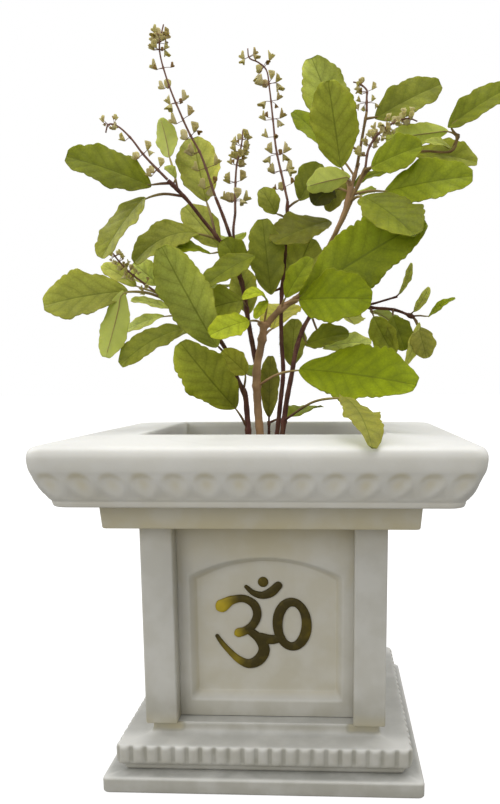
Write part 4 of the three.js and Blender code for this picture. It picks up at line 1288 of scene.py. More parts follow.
@dataclass(frozen=True)
class BladeShape:
    """How every blade is folded, waved, toothed and quilted."""

    fold: float = 0.16
    wave: float = 0.035
    frill: float = 0.012
    uneven: float = 0.06
    groove: float = 0.25
    groove_half: float = 0.9
    tooth_every: float = 4.8
    tooth_depth: float = 0.07
    thick: float = 0.5
    vein_every: float = 8.5
    vein_sweep: float = 0.45
    quilt: float = 0.45
    columns: tuple[float, ...] = (0.0, 0.05, 0.13, 0.24, 0.37, 0.5, 0.63, 0.76, 0.87, 0.955, 1.0)

    def outline(self, t: Array) -> Array:
        """Half-width along the blade as a share of its greatest: sin(pi t^1.1)^(0.62 - 0.06 t)."""
        return np.sin(math.pi * t**1.1) ** (0.62 - 0.06 * t)

    def teeth(self, t: Array, count: int, phase: float) -> Array:
        """Blunt teeth that lean to the tip and vary in depth along the blade.

        The edge is 1 - depth (1 - sin(pi f^1.25)^0.6), where f is the share of a tooth and
        the depth rises and falls by half with a slow sine.
        """
        f = np.mod(t * count + TINY, 1.0)
        blunt = 1 - np.sin(math.pi * np.clip(f, 0, 1) ** 1.25) ** 0.6
        depth = self.tooth_depth * (1 + 0.5 * np.sin(17 * t + phase))
        return 1 - depth * blunt * smooth(0.1, 0.35, t)

    def add(self, shell: Shell, leaf: Leaf, phase: float) -> None:
        """Adds one blade to a shell.

        A point at share t along and s across stands at start + t length along + s half(t)
        across + lift normal. The lift adds the midrib's arch, the fold fold |s half|, a wave
        and a finer frill that grow to the edge, a groove along the midrib, and quilting that
        sinks at each side vein. Side veins run where veins (t - sweep |s|) is whole, with one
        each vein_every, four or more of them.

        Args:
            shell: gathers the leaves of one shoot.
            leaf: the leaf's place and tone.
            phase: where its wave starts.
        """
        start, along, length, normal, across = leaf.frame()
        count = int(np.clip(round(length / self.tooth_every), 5, 20))
        t = np.linspace(0.004, 0.974, 4 * count + 1)[:, None]
        half_row = np.array(self.columns)
        s = np.concatenate([-half_row[:0:-1], half_row])
        side = np.sign(s)
        bulge = np.sin(5.5 * math.pi * t + 3 * phase + 1.3 * side)
        uneven = 1 + self.uneven * bulge * smooth(0.0, 0.25, t)
        share = self.outline(t) * self.teeth(t, count, phase + side) * uneven
        half = leaf.width / 2 * share * s
        ripple = self.wave * length * np.sin(2.5 * math.pi * t + phase + side) * share * np.abs(s) ** 1.5
        curl = np.sin(9 * math.pi * t + 2 * phase + 2 * side)
        frill = self.frill * length * curl * np.abs(s) ** 3 * share
        sweep = self.vein_sweep * leaf.width / length
        vein = np.clip(round(length / self.vein_every), 4, 8) * (t - sweep * np.abs(s))
        size = min(1.0, leaf.width / 24)
        quilt = self.quilt * size * (np.abs(np.sin(math.pi * vein)) ** 0.6 - 0.6) * np.abs(s) ** 0.4
        quilt *= (1 - np.abs(s) ** 4) * smooth(0.02, 0.15, t) * smooth(1.0, 0.85, t)
        groove = -self.groove * size * np.exp(-((half / self.groove_half) ** 2))
        lift = leaf.rise(t) + self.fold * np.abs(half) + ripple + frill + quilt + groove
        top = start + t[..., None] * length * along + half[..., None] * across + lift[..., None] * normal
        thin = self.thick * (1 - 0.45 * s**2) * np.minimum(1, 0.3 + 6 * share)
        bottom = top - (thin * np.ones_like(half))[..., None] * normal
        across_share = s * np.ones_like(t)
        tint, across_share, vein = (
            np.concatenate([values, values[:, ::-1]], axis=1)
            for values in (self._tint(leaf, t, across_share), across_share, vein)
        )
        rings = np.concatenate([bottom, top[:, ::-1]], axis=1)
        under = np.concatenate([np.ones_like(half), np.zeros_like(half)], axis=1)
        shell.loft(rings, tint, across=across_share, vein=vein, under=under)

    def _tint(self, leaf: Leaf, t: Array, s: Array) -> Array:
        """The blade's colour: its tone, lighter to the tip's edge, and with painted light on one half."""
        tone = np.array(leaf.tone.value)
        # painted light on one half of the blade, as by the fold
        shade = 1 + 0.22 * leaf.painted_lit_side * s + 0.10 * (t - 0.5) + 0.06 * np.abs(s)
        warm = np.array([1.06, 1.0, 0.9]) ** (np.abs(s) ** 3)[..., None]
        return tone * shade[..., None] * warm


@dataclass
class Shoot:
    """One stem out of the soil, with its branches and leaves, as stems and as blades."""

    name: str
    foot: tuple[float, float, float]  # x, y and radius where it leaves the soil
    seed: int
    branches: dict[str, Branch]
    leaves: tuple[Leaf, ...]
    shape: BladeShape = field(default_factory=BladeShape)
    foot_heights: tuple[float, ...] = (160.3, 172.0, 182.0, 190.0)
    sides: int = 10
    stalk_sides: int = 7
    stalk_radius: float = 0.82
    midrib_radius: float = 0.38
    # below a blade: shares of its length and how deep the midrib's middle lies under it
    midrib: tuple[Pair, ...] = (
        (0.06, 0.7), (0.25, 0.8), (0.45, 0.85), (0.65, 0.8), (0.9, 0.65),
    )
    node_swelling: float = 0.28
    node_reach: float = 1.6
    hairs_per_mm: float = 1.6
    hair_radius: float = 0.07
    hair_lengths: Pair = (0.5, 1.1)

    def build(self, leaf_material: bpy.types.Material, stem_material: bpy.types.Material) -> None:
        """Builds and places the shoot's two pieces."""
        draws = SeededDraws(self.seed)
        blades = Shell()
        for leaf in self.leaves:
            self.shape.add(blades, leaf, 2 * math.pi * draws.next())
        place(blades.build(f"{self.name}_blades", leaf_material), "foliage", self.name)
        stems = Shell()
        self._foot(stems)
        for name, branch in self.branches.items():
            self._stem(stems, name, branch)
        for leaf in self.leaves:
            self._stalk(stems, leaf)
        self._hairs(stems)
        place(stems.build(f"{self.name}_stems", stem_material), "foliage", self.name)

    def _foot(self, shell: Shell) -> None:
        """The buried foot: a straight tube in its hole."""
        x, y, radius = self.foot
        angles = even_turns(self.sides)
        circle = np.stack([np.cos(angles), np.sin(angles), np.zeros(self.sides)], axis=1)
        centres = np.array([(x, y, height) for height in self.foot_heights])
        first = next(iter(self.branches.values()))
        shell.loft(centres[:, None] + radius * circle, first.bark.value)

    def _stem(self, shell: Shell, name: str, branch: Branch) -> None:
        """A tapered stem, swollen where leaves leave it, waxing and waning by a slow wave."""
        route = Route(branch.path)
        steps = max(6, round(route.length / 1.8))
        distance = np.linspace(0, route.length, steps + 1)
        shares = route.share_at(distance)
        radii = branch.radius(shares)
        for leaf in self.leaves:
            if leaf.on == name:
                away = distance - np.interp(leaf.at, route.shares, route.travelled)
                radii = radii * (1 + self.node_swelling * np.exp(-((away / self.node_reach) ** 2)))
        radii = radii * (1 + 0.05 * np.sin(distance * 0.7 + len(name)))
        rings = tube_rings(route, shares, radii, self.sides)
        bark = np.array(branch.bark.value)
        shade = 1 + 0.18 * waves(rings, 14, self.seed)
        shell.loft(rings, bark * shade[..., None])

    def _stalk(self, shell: Shell, leaf: Leaf) -> None:
        """A leaf's stalk: from inside its branch to its blade, and on below it as the midrib."""
        stem = Route(self.branches[leaf.on].path)
        root = stem.at(leaf.at)
        start, along, length, normal, _ = leaf.frame()
        middle = root + 0.55 * (start - root)
        middle[2] += 0.06 * float(np.linalg.norm(start - root))
        ribs = [start + t * length * along + (leaf.rise(t) - drop) * normal for t, drop in self.midrib]
        route = Route(np.array([root, middle, *ribs]))
        steps = max(10, round(route.length / 3))
        distance = np.linspace(0, route.length, steps + 1)
        gone = distance / route.length
        size = min(1.0, 0.55 + leaf.width / 50)
        blade_from = max(0.15, 1 - 0.95 * length / route.length)
        thinner = (self.stalk_radius - self.midrib_radius) * smooth(blade_from - 0.1, blade_from + 0.1, gone)
        radii = size * (self.stalk_radius - thinner) * (1 - 0.4 * smooth(0.6, 1.0, gone))
        rings = tube_rings(route, route.share_at(distance), radii, self.stalk_sides)
        stalk, bark = np.array(Bark.STALK.value), np.array(self.branches[leaf.on].bark.value)
        mix = smooth(0.0, 0.4, gone)[:, None, None]
        shell.loft(rings, (bark + (stalk - bark) * mix) * np.ones((1, self.stalk_sides, 1)))

    def _hairs(self, shell: Shell) -> None:
        """Fine hairs: three-sided spikes that stand out of the stems at random places."""
        random = np.random.default_rng(self.seed)
        for branch in self.branches.values():
            route = Route(branch.path)
            count = int(route.length * self.hairs_per_mm)
            shares = route.share_at(random.uniform(3, route.length - 1, count))
            along = route.along(shares)
            across, up = cross_frame(along)
            angle = random.uniform(0, 2 * math.pi, (count, 1))
            out = np.cos(angle) * across + np.sin(angle) * up
            radius = branch.radius(shares)[:, None]
            root = route.at(shares) + 0.8 * radius * out
            length = 0.35 * radius + random.uniform(*self.hair_lengths, (count, 1))
            tip = root + out * length + 0.2 * along
            corners = even_turns(3)
            flat = np.cos(corners)[None, :, None] * along[:, None]
            flat = flat + np.sin(corners)[None, :, None] * np.cross(out, along)[:, None]
            base = root[:, None] + self.hair_radius * flat
            for ring, point in zip(base, tip):
                shell.loft(np.stack([ring, point + 0.15 * (ring - ring.mean(0))]), Bark.STALK.value)


def leaf_rows(*rows: tuple) -> tuple[Leaf, ...]:
    """Leaves from rows of plain values, in the order of the fields of Leaf."""
    return tuple(Leaf(*row) for row in rows)


MIDDLE_SHOOT = Shoot(
    "middle_shoot", (-7, 0, 2.6), 11,
    {
        "trunk": Branch(
            ((-7, 0, 188), (-9, 0, 217), (-9, 0, 237), (-6, 0, 252), (-4, 0, 265)), 2.6, 2.3, Bark.BROWN,
        ),
        "rightFork": Branch(
            ((-5, 0, 261), (7, -3, 273), (18, -4, 280), (31, 2, 301), (44, 8, 328), (49, 12, 345),
             (54, 17, 362)), 2, 1.1, Bark.BROWN,
        ),
        "sideFork": Branch(((36, 4, 311), (46, 4, 329), (52, 6, 344), (58, 8, 357)), 1.1, 0.9, Bark.DUSK),
        "topTwig": Branch(((53, 16, 359), (56, 19, 376), (59, 21, 393)), 1, 0.8, Bark.DUSK),
        "sideTwig": Branch(
            ((51, 6, 341), (60, 9, 356), (76, 12, 366), (94, 12, 367), (111, 11, 367),
             (114, 10, 376)), 0.9, 0.7, Bark.DUSK,
        ),
        "leftFork": Branch(
            ((-9, 0, 237), (-12, 3, 252), (-14, 5, 262), (-18, 9, 286), (-22, 10, 303),
             (-23, 10, 313)), 1.7, 1.2,
        ),
        "firstSpike": Branch(((-22, 10, 307), (-29, 8, 328), (-34, 6, 341)), 1.2, 0.9),
        "secondSpike": Branch(
            ((-19, 9, 290), (-26, 4, 307), (-31, 0, 314), (-40, -6, 325), (-48, -12, 335),
             (-58, -18, 345)), 1.2, 1,
        ),
        "thirdSpike": Branch(((-22, 10, 308), (-24, 12, 321), (-23, 15, 333)), 0.9, 0.8),
    },
    leaf_rows(
        ("secondSpike", 0.97, (-68, -17, 342), (-115, -30, 356), 30, (0, -3, 2), Tone.DARK, 2, -1),
        ("secondSpike", 0.84, (-73, -14, 337), (-97, -28, 299), 26, (-2, -3, 1), Tone.MID),
        ("secondSpike", 0.9, (-60, -2, 362), (-67, 8, 388), 14, (0, 2, 1), Tone.BRONZE),
        ("secondSpike", 0.45, (-41, 14, 340), (-50, 22, 381), 27, (0, -3, 1), Tone.LIGHT, 2, -1),
        ("secondSpike", 0.95, (-54, -14, 347), (-61, -10, 355), 6, (0, -2, 2), Tone.SAGE),
        ("leftFork", 0.97, (-33, 12, 312), (-55, 14, 338), 21, (0, -3, 1), Tone.LIGHT),
        ("leftFork", 0.93, (-45, 8, 320), (-83, -10, 299), 24, (0, -3, 2), Tone.MID, 9),
        ("leftFork", 0.9, (-37, 4, 307), (-62, -8, 309), 10, (0, -2, 2), Tone.IVY),
        ("leftFork", 0.75, (-9, -6, 304), (-39, -22, 283), 20, (0, -1, 1), Tone.DARK),
        ("leftFork", 0.8, (-17, 3, 296), (-29, 0, 315), 19, (0, -3, 1), Tone.DARK),
        ("leftFork", 0.5, (-17, -2, 278), (-40, -12, 271), 24, (0, -3, 1), Tone.OLIVE),
        ("trunk", 0.97, (-12, -14, 265), (-34, -32, 255), 17, (0, -3, 1), Tone.YOUNG),
        ("trunk", 0.99, (-1, -6, 276), (-16, -18, 277), 11, (0, -2, 2), Tone.YOUNG, 6),
        ("trunk", 0.35, (18, -16, 236), (87, -52, 226), 39, (0, -3, 2), Tone.MOSS),
        ("rightFork", 0.16, (10, -14, 278), (26, -17, 301), 14, (-1, -3, 0), Tone.IVY),
        ("rightFork", 0.2, (18, -13, 277), (62, -32, 275), 34, (0, -3, 1), Tone.MOSS),
        ("rightFork", 0.3, (18, -8, 279), (93, -24, 321), 38, (0, -3, 1), Tone.IVY, 2, 1),
        ("rightFork", 0.85, (43, 4, 356), (35, -6, 403), 29, (0, -3, 1), Tone.OLIVE),
        ("rightFork", 0.92, (39, 24, 371), (12, 28, 397), 15, (0, -2, 1), Tone.IVY),
        ("rightFork", 0.84, (49, 8, 352), (22, -2, 344), 16, (0, 3, 2), Tone.GLOW),
        ("topTwig", 0.3, (46, 28, 376), (24, 36, 432), 30, (0, -3, 1), Tone.SAGE, 2, 1),
        ("topTwig", 0.88, (64, 23, 390), (105, 19, 408), 24, (0, -3, 1), Tone.DEEP),
        ("sideTwig", 0.98, (107, 7, 379), (144, -2, 399), 22, (0, -3, 2), Tone.DARK),
        ("sideTwig", 0.96, (109, 17, 380), (70, 22, 377), 14, (0, 2, 1), Tone.GLOW),
        ("sideTwig", 0.5, (87, 19, 368), (128, 16, 361), 24, (0, -3, 2), Tone.OLIVE),
        ("sideFork", 0.95, (61, 4, 356), (91, -10, 364), 23, (0, -3, 1), Tone.IVY),
        ("sideFork", 0.6, (69, 0, 341), (120, -18, 345), 27, (0, -3, 1), Tone.IVY),
        ("sideFork", 0.5, (56, -12, 336), (85, -38, 308), 37, (1, -3, 2), Tone.DARK, 2, -1),
        ("rightFork", 0.82, (38, 14, 347), (26, 4, 335), 17, (0, -3, 1), Tone.SHADE),
        ("rightFork", 0.8, (46, 22, 357), (35, 16, 333), 14, (0, -3, 1), Tone.FERN),
        ("rightFork", 0.78, (50, 16, 348), (72, 12, 356), 9, (0, -2, 2), Tone.IVY),
        ("sideTwig", 0.97, (111, 13, 368), (93, 10, 372), 8, (0, -2, 2), Tone.SAGE),
        ("rightFork", 0.55, (42, 22, 318), (74, 60, 326), 27, (-1, -1, 3), Tone.IVY),
        ("rightFork", 0.75, (50, 26, 346), (58, 72, 356), 25, (0, -1, 3), Tone.YOUNG),
        ("leftFork", 0.65, (-22, 20, 290), (-46, 62, 290), 28, (-1, 1, 3), Tone.IVY),
        ("leftFork", 0.95, (-27, 22, 314), (-36, 64, 328), 24, (0, -1, 3), Tone.IVY),
        ("trunk", 0.45, (-12, 12, 232), (-44, 50, 238), 27, (-1, 1, 3), Tone.MOSS),
        ("trunk", 0.8, (0, 16, 262), (4, 62, 282), 29, (0, -1, 3), Tone.PEAR),
        ("leftFork", 0.55, (-15, 14, 271), (-21, 16, 302), 18, (0, -3, 1), Tone.LIGHT),
        ("trunk", 0.98, (-1, -9, 277), (-9, -12, 266), 7, (0, -3, 1), Tone.YOUNG),
    ),
)

LEFT_SHOOT = Shoot(
    "left_shoot", (-14, -6, 1.9), 12,
    {
        "stem": Branch(
            ((-14, -6, 188), (-15, -7, 211), (-16, -8, 221), (-20, -8, 229), (-26, -5, 245),
             (-36, 0, 259), (-51, 4, 270), (-66, 5, 280)), 1.9, 1,
        ),
    },
    leaf_rows(
        ("stem", 0.06, (-21, -14, 212), (-50, -40, 252), 30, (-1, -3, 1), Tone.OLIVE, 2, 1),
        ("stem", 0.32, (-14, -13, 233), (-28, -22, 247), 15, (0, -3, 1), Tone.GRASS),
        ("stem", 0.55, (-32, -12, 249), (-61, -31, 307), 31, (-1, -3, 1), Tone.SAGE, 2, -1),
        ("stem", 0.8, (-68, 6, 270), (-100, 4, 257), 11, (0, -2, 2), Tone.GLOW),
        ("stem", 0.85, (-54, -2, 262), (-91, -20, 238), 19, (0, -3, 2), Tone.DEEP, 5),
        ("stem", 0.88, (-87, 14, 289), (-110, 16, 303), 13, (0, -3, 2), Tone.LIGHT),
        ("stem", 0.97, (-88, -15, 283), (-97, -27, 242), 17, (0, 3, 1), Tone.BRONZE),
        ("stem", 0.98, (-87, -7, 284), (-137, -19, 274), 35, (0, -3, 2), Tone.MID, 2, -1),
        ("stem", 0.9, (-73, 15, 290), (-90, 17, 304), 16, (0, -3, 1), Tone.GLOW),
        ("stem", 0.93, (-64, 3, 274), (-88, 0, 279), 8, (0, -2, 2), Tone.GLOW),
        ("stem", 0.72, (-46, 14, 262), (-70, 46, 258), 22, (-1, 1, 3), Tone.IVY),
    ),
)

SPIKE_SHOOT = Shoot(
    "spike_shoot", (2, 6, 1.6), 13,
    {
        "stem": Branch(
            ((2, 6, 188), (5, 6, 214), (7, 7, 234), (6, 8, 254), (6, 10, 279), (8, 12, 303), (9, 14, 319),
             (10, 15, 340)), 1.6, 1,
        ),
    },
    leaf_rows(
        ("stem", 0.62, (0, 6, 282), (-5, 3, 328), 23, (0, -3, 1), Tone.DEEP),
        ("stem", 0.6, (11, 17, 285), (25, 19, 319), 29, (0, -3, 1), Tone.LIGHT),
        ("stem", 0.9, (37, 21, 329), (1, -4, 311), 29, (0, -2, 2), Tone.DUSKY),
        ("stem", 0.93, (3, 10, 331), (-6, 7, 346), 14, (0, -3, 1), Tone.MID),
        ("stem", 0.97, (17, 24, 342), (30, 28, 366), 19, (0, -3, 1), Tone.DEEP),
        ("stem", 0.75, (10, 24, 308), (14, 68, 318), 27, (0, -1, 3), Tone.IVY),
    ),
)

RIGHT_SHOOT = Shoot(
    "right_shoot", (6, -5, 1.7), 14,
    {
        "stem": Branch(
            ((6, -5, 188), (10, -6, 217), (13, -6, 232), (16, -5, 248), (21, 2, 263), (30, 12, 275),
             (44, 18, 278), (62, 18, 275), (78, 15, 273), (90, 12, 268)), 1.7, 0.8,
        ),
        "thinTwig": Branch(((55, 18, 276), (63, 17, 277), (71, 15, 279), (79, 12, 281)), 0.8, 0.6),
    },
    leaf_rows(
        ("stem", 0.06, (44, -56, 220), (58, -119, 196), 19, (1, -2, 2), Tone.FERN, 5),
        ("stem", 0.42, (21, -1, 251), (49, -8, 257), 20, (0, -2, 2), Tone.DARK),
        ("stem", 0.5, (32, 4, 249), (63, -4, 252), 15, (0, -2, 2), Tone.GLOW),
        ("stem", 0.78, (64, 12, 269), (77, 4, 244), 17, (-1, -2, 1), Tone.OLIVE),
        ("stem", 0.88, (76, 10, 269), (84, 5, 247), 17, (0, -3, 1), Tone.DARK),
        ("stem", 0.99, (92, 9, 262), (97, 3, 242), 16, (0, -3, 1), Tone.FERN),
        ("stem", 0.97, (89, 8, 271), (98, 4, 286), 6, (1, -2, 1), Tone.LIGHT),
        ("stem", 0.98, (98, 9, 268), (114, 2, 279), 6, (0, -2, 2), Tone.IVY),
        ("thinTwig", 0.95, (80, 11, 282), (87, 6, 301), 5, (1, -2, 0), Tone.LIGHT),
        ("stem", 0.97, (93, 10, 265), (84, 2, 238), 8, (1, -3, 0), Tone.LIGHT),
        ("stem", 0.6, (38, 26, 276), (54, 66, 268), 25, (1, 1, 3), Tone.PEAR),
        ("stem", 0.74, (64, 26, 274), (84, 56, 264), 20, (1, 1, 3), Tone.DUSKY),
        ("stem", 0.35, (12, 16, 238), (14, 17, 269), 17, (0, -3, 1), Tone.MID),
    ),
)

LOW_SHOOT = Shoot(
    "low_shoot", (-3, 13, 1.1), 15,
    {"stem": Branch(((-3, 13, 188), (-3, 13, 197), (-3, 14, 203)), 1.1, 0.8)},
    leaf_rows(
        ("stem", 0.97, (-3, 15, 205), (-2, 19, 246), 13, (0, -3, 1), Tone.FERN),
        ("stem", 0.9, (6, 24, 204), (30, 56, 211), 22, (1, 1, 3), Tone.IVY),
    ),
)


# ------------------------------------------------------------------ flower spikes


class Bloom(Enum):
    """Colours of the dry calyces and of the spikes' stalks."""

    BEIGE = linear(206, 194, 146)
    OLIVE = linear(180, 172, 104)
    BROWN = linear(124, 88, 56)
    STRAW = linear(226, 214, 158)
    STALK = linear(128, 94, 80)


def blended(first: Array | Colour, second: Colour, share: float) -> Array:
    """The colour that lies a share of the way from the first to the second."""
    return np.asarray(first) * (1 - share) + np.asarray(second) * share


@dataclass(frozen=True)
class CalyxShape:
    """One two-lipped calyx on its stalklet."""

    stalklet_radius: float = 0.2
    wall: float = 0.16
    steps: tuple[float, ...] = (0.0, 0.1, 0.3, 0.6, 0.85, 1.0)
    tube: float = 2.9
    mouth: float = 1.9
    upper_lip: float = 2.0
    lower_lip: float = 1.0
    sides: int = 14

    def add(
        self, shell: Shell, root: Array, out: Array, scale: float, tint: Array, nod: float, stalklet: float
    ) -> None:
        """Adds a stalklet that leaves the spike and the bell that nods at its end.

        At share k along the tube the bell's radius is mouth (0.16 + 0.84 k^0.8). Past k = 0.55
        the broad upper lip and the toothed lower lip run on and flare out, each where the
        cosine of the angle round the bell is past a smooth step. The surface comes back
        inside by the thickness of the wall, and painted shade darkens it inside and towards the neck.

        Args:
            shell: gathers the spike.
            root: where the stalklet leaves the stalk.
            out: the unit direction away from the stalk.
            scale: the size of this calyx.
            tint: its colour.
            nod: how far its mouth turns up, or down if negative.
            stalklet: how far the bell stands from the stalk.
        """
        up = np.array([0.0, 0.0, 1.0])
        bend = root + stalklet * (0.6 * out + 0.03 * up)
        neck = root + stalklet * out
        stalk = Route(np.array([root - 0.4 * out, bend, neck]))
        radii = np.full(5, self.stalklet_radius) * (0.7 + 0.3 * scale)
        rings = tube_rings(stalk, np.linspace(0, 1, len(radii)), radii, 5)
        shell.loft(rings, Bloom.STALK.value)
        axis = unit(out + nod * up)
        across = unit(np.cross(axis, up + 0.2 * out))
        back = np.cross(across, axis)
        angles = even_turns(self.sides)
        upper, lower = smooth(-0.2, 0.7, np.cos(angles)), smooth(0.0, 0.8, -np.cos(angles))
        steps = np.array(self.steps)
        flare = smooth(0.55, 1.0, steps)[:, None]
        radius = self.mouth * (0.16 + 0.84 * steps**0.8)[:, None]
        teeth = 0.3 * np.cos(6 * angles) * lower
        lips = self.upper_lip * upper + self.lower_lip * lower + teeth
        reach = steps[:, None] * self.tube + lips * flare
        wide = radius * (1 + (0.5 * upper + 0.25 * lower) * flare)
        outer = self._ring(neck, axis, across, back, reach * scale, wide * scale, angles)
        inner_wide = np.maximum(wide[::-1] - self.wall, 0.12)
        inner_reach = np.maximum(reach[::-1], 0.35)
        inner = self._ring(neck, axis, across, back, inner_reach * scale, inner_wide * scale, angles)[:-1]
        # painted shade: darker towards the neck and inside the bell
        depth = np.concatenate([steps, steps[::-1][:-1] - 0.5])
        inside_shade = 0.82 + 0.25 * np.clip(depth, -0.4, 1.0)[:, None, None]
        shell.loft(np.concatenate([outer, inner]), tint * inside_shade * np.ones((1, self.sides, 1)))

    @staticmethod
    def _ring(
        neck: Array, axis: Array, across: Array, back: Array, reach: Array, wide: Array, angles: Array
    ) -> Array:
        """Rings about the bell's axis: neck + reach axis + wide (cos a back - sin a across)."""
        flat = np.cos(angles)[None, :, None] * back - np.sin(angles)[None, :, None] * across
        return neck + reach[..., None] * axis + wide[..., None] * flat


@dataclass
class FlowerSpike:
    """One raceme: its stalk and its whorls of dry calyces, dense towards the tip."""

    name: str
    path: tuple[Point, ...]
    first: float
    spacing: float
    tight: float
    dense: float
    seed: int
    calyx: CalyxShape = field(default_factory=CalyxShape)
    scale: float = 1.0
    pale: float = 0.0
    hang: float = 0.15  # the share of calyces that hang down
    sparse: float = 0.45  # the share that has dropped off below the dense tip
    tip_sparse: float = 0.08  # and the share in it
    withered: float = 0.2
    fan: tuple[float, ...] = (-0.62, 0.0, 0.62)
    foot_radius: float = 0.85
    tip_radius: float = 0.4
    node_swelling: float = 0.35
    node_reach: float = 0.8
    bare_tip: float = 3.2

    def build(self, material: bpy.types.Material) -> None:
        """Builds and places the spike as one piece."""
        random = np.random.default_rng(self.seed)
        route = Route(self.path)
        shell = Shell()
        steps = max(8, round(route.length / 1.5))
        distance = np.linspace(GAP, route.length - 0.6, steps + 1)
        radii = self.foot_radius + (self.tip_radius - self.foot_radius) * distance / route.length
        whorls = []
        spot = self.first
        while spot < route.length - self.bare_tip:
            whorls.append(spot)
            spot += self.tight if spot > self.dense * route.length else self.spacing
        for spot in whorls:
            swelling = np.exp(-(((distance - spot) / self.node_reach) ** 2))
            radii = radii * (1 + self.node_swelling * swelling)
        shell.loft(tube_rings(route, route.share_at(distance), radii, 8), Bloom.STALK.value)
        for number, spot in enumerate(whorls):
            self._whorl(shell, route, spot, number, random)
        place(shell.build(f"{self.name}_dry", material), "dry_flowers", self.name)

    def _colour(self, withered: bool, random: np.random.Generator) -> Array:
        """Draws a calyx's colour: olive to beige, partly brown, and paled to straw."""
        tint = blended(Bloom.OLIVE.value, Bloom.BEIGE.value, random.random())
        brown = 0.9 if withered else 0.5 * random.random() ** 3
        return blended(blended(tint, Bloom.BROWN.value, brown), Bloom.STRAW.value, self.pale)

    def _whorl(
        self, shell: Shell, route: Route, spot: float, number: int, random: np.random.Generator
    ) -> None:
        """Six calyces in two opposite threes, turned on from the whorl below; some have dropped.

        Args:
            shell: gathers the spike.
            route: the spike's stalk.
            spot: the whorl's distance along it.
            number: counts the whorls from below.
            random: draws sizes, colours and the calyces that have dropped off.
        """
        share = route.share_at(np.array([spot]))
        along = route.along(share)[0]
        packed = spot > self.dense * route.length
        largest = self.scale * (0.95 if packed else 1.15)
        young = spot / route.length
        for start in (0.0, math.pi):
            for fan in self.fan:
                drop = random.random() < (self.tip_sparse if packed else self.sparse)
                angle = 0.5 * (number % 3 - 1) + start + fan + random.normal(0, 0.12)
                nod = (-1.3 if random.random() < self.hang else 1.3) + random.normal(0, 0.25)
                size = largest * random.uniform(0.85, 1.1) * (1 - 0.15 * young)
                withered = random.random() < self.withered
                tint = self._colour(withered, random)
                if drop:
                    continue
                size *= 0.6 if withered else 1.0
                out = np.array([math.cos(angle), math.sin(angle), 0.0])
                out = unit(out - (out @ along) * along)
                root = route.at(share)[0] + 0.5 * out + along * random.uniform(-0.5, 0.5)
                stalklet = 2.6 if packed else random.uniform(3.0, 5.0)
                self.calyx.add(shell, root, out, size, tint, nod, stalklet)


SPIKES = (
    FlowerSpike(
        "flower_spike_1",
        ((-34, 6, 341), (-42, 3, 365), (-48, 2, 376), (-53, 0, 387), (-60, -2, 405), (-64, -3, 423),
         (-61, -3, 436)),
        7, 10, 4, 0.76, 31,
    ),
    FlowerSpike(
        "flower_spike_2",
        ((-58, -18, 345), (-70, -24, 357), (-77, -27, 366), (-84, -28, 372), (-89, -28, 373),
         (-91, -28, 368)),
        8, 11, 4, 0.72, 32, scale=0.8, pale=0.3, sparse=0.3,
    ),
    FlowerSpike(
        "flower_spike_3",
        ((-23, 15, 333), (-23, 17, 347), (-22, 19, 363), (-19, 20, 375), (-18, 20, 384)),
        8, 11, 4, 0.52, 33, sparse=0.2,
    ),
    FlowerSpike(
        "flower_spike_4",
        ((10, 15, 340), (7, 16, 353), (3, 17, 371), (1, 18, 389), (-1, 19, 407), (-3, 19, 418),
         (-8, 18, 422), (-13, 17, 424), (-14, 17, 430)),
        8, 10.5, 5, 0.88, 34, hang=0.3, sparse=0.4,
    ),
    FlowerSpike(
        "flower_spike_5",
        ((59, 21, 393), (59, 22, 402), (59, 22, 406), (54, 22, 410), (50, 22, 411)),
        6, 6, 4, 0.6, 35, scale=0.7,
    ),
    FlowerSpike(
        "flower_spike_6",
        ((58, 8, 357), (60, 8, 368), (67, 10, 378), (76, 12, 384), (84, 12, 386), (90, 12, 384)),
        7, 6, 4.5, 0.2, 36, scale=0.85, pale=0.35,
    ),
    FlowerSpike(
        "flower_spike_7",
        ((-66, 5, 280), (-79, 2, 289), (-90, 0, 298), (-98, -1, 308), (-100, -1, 311)),
        15, 9, 4, 0.5, 37, scale=0.65, pale=0.2,
    ),
)


# ------------------------------------------------------------------ studio


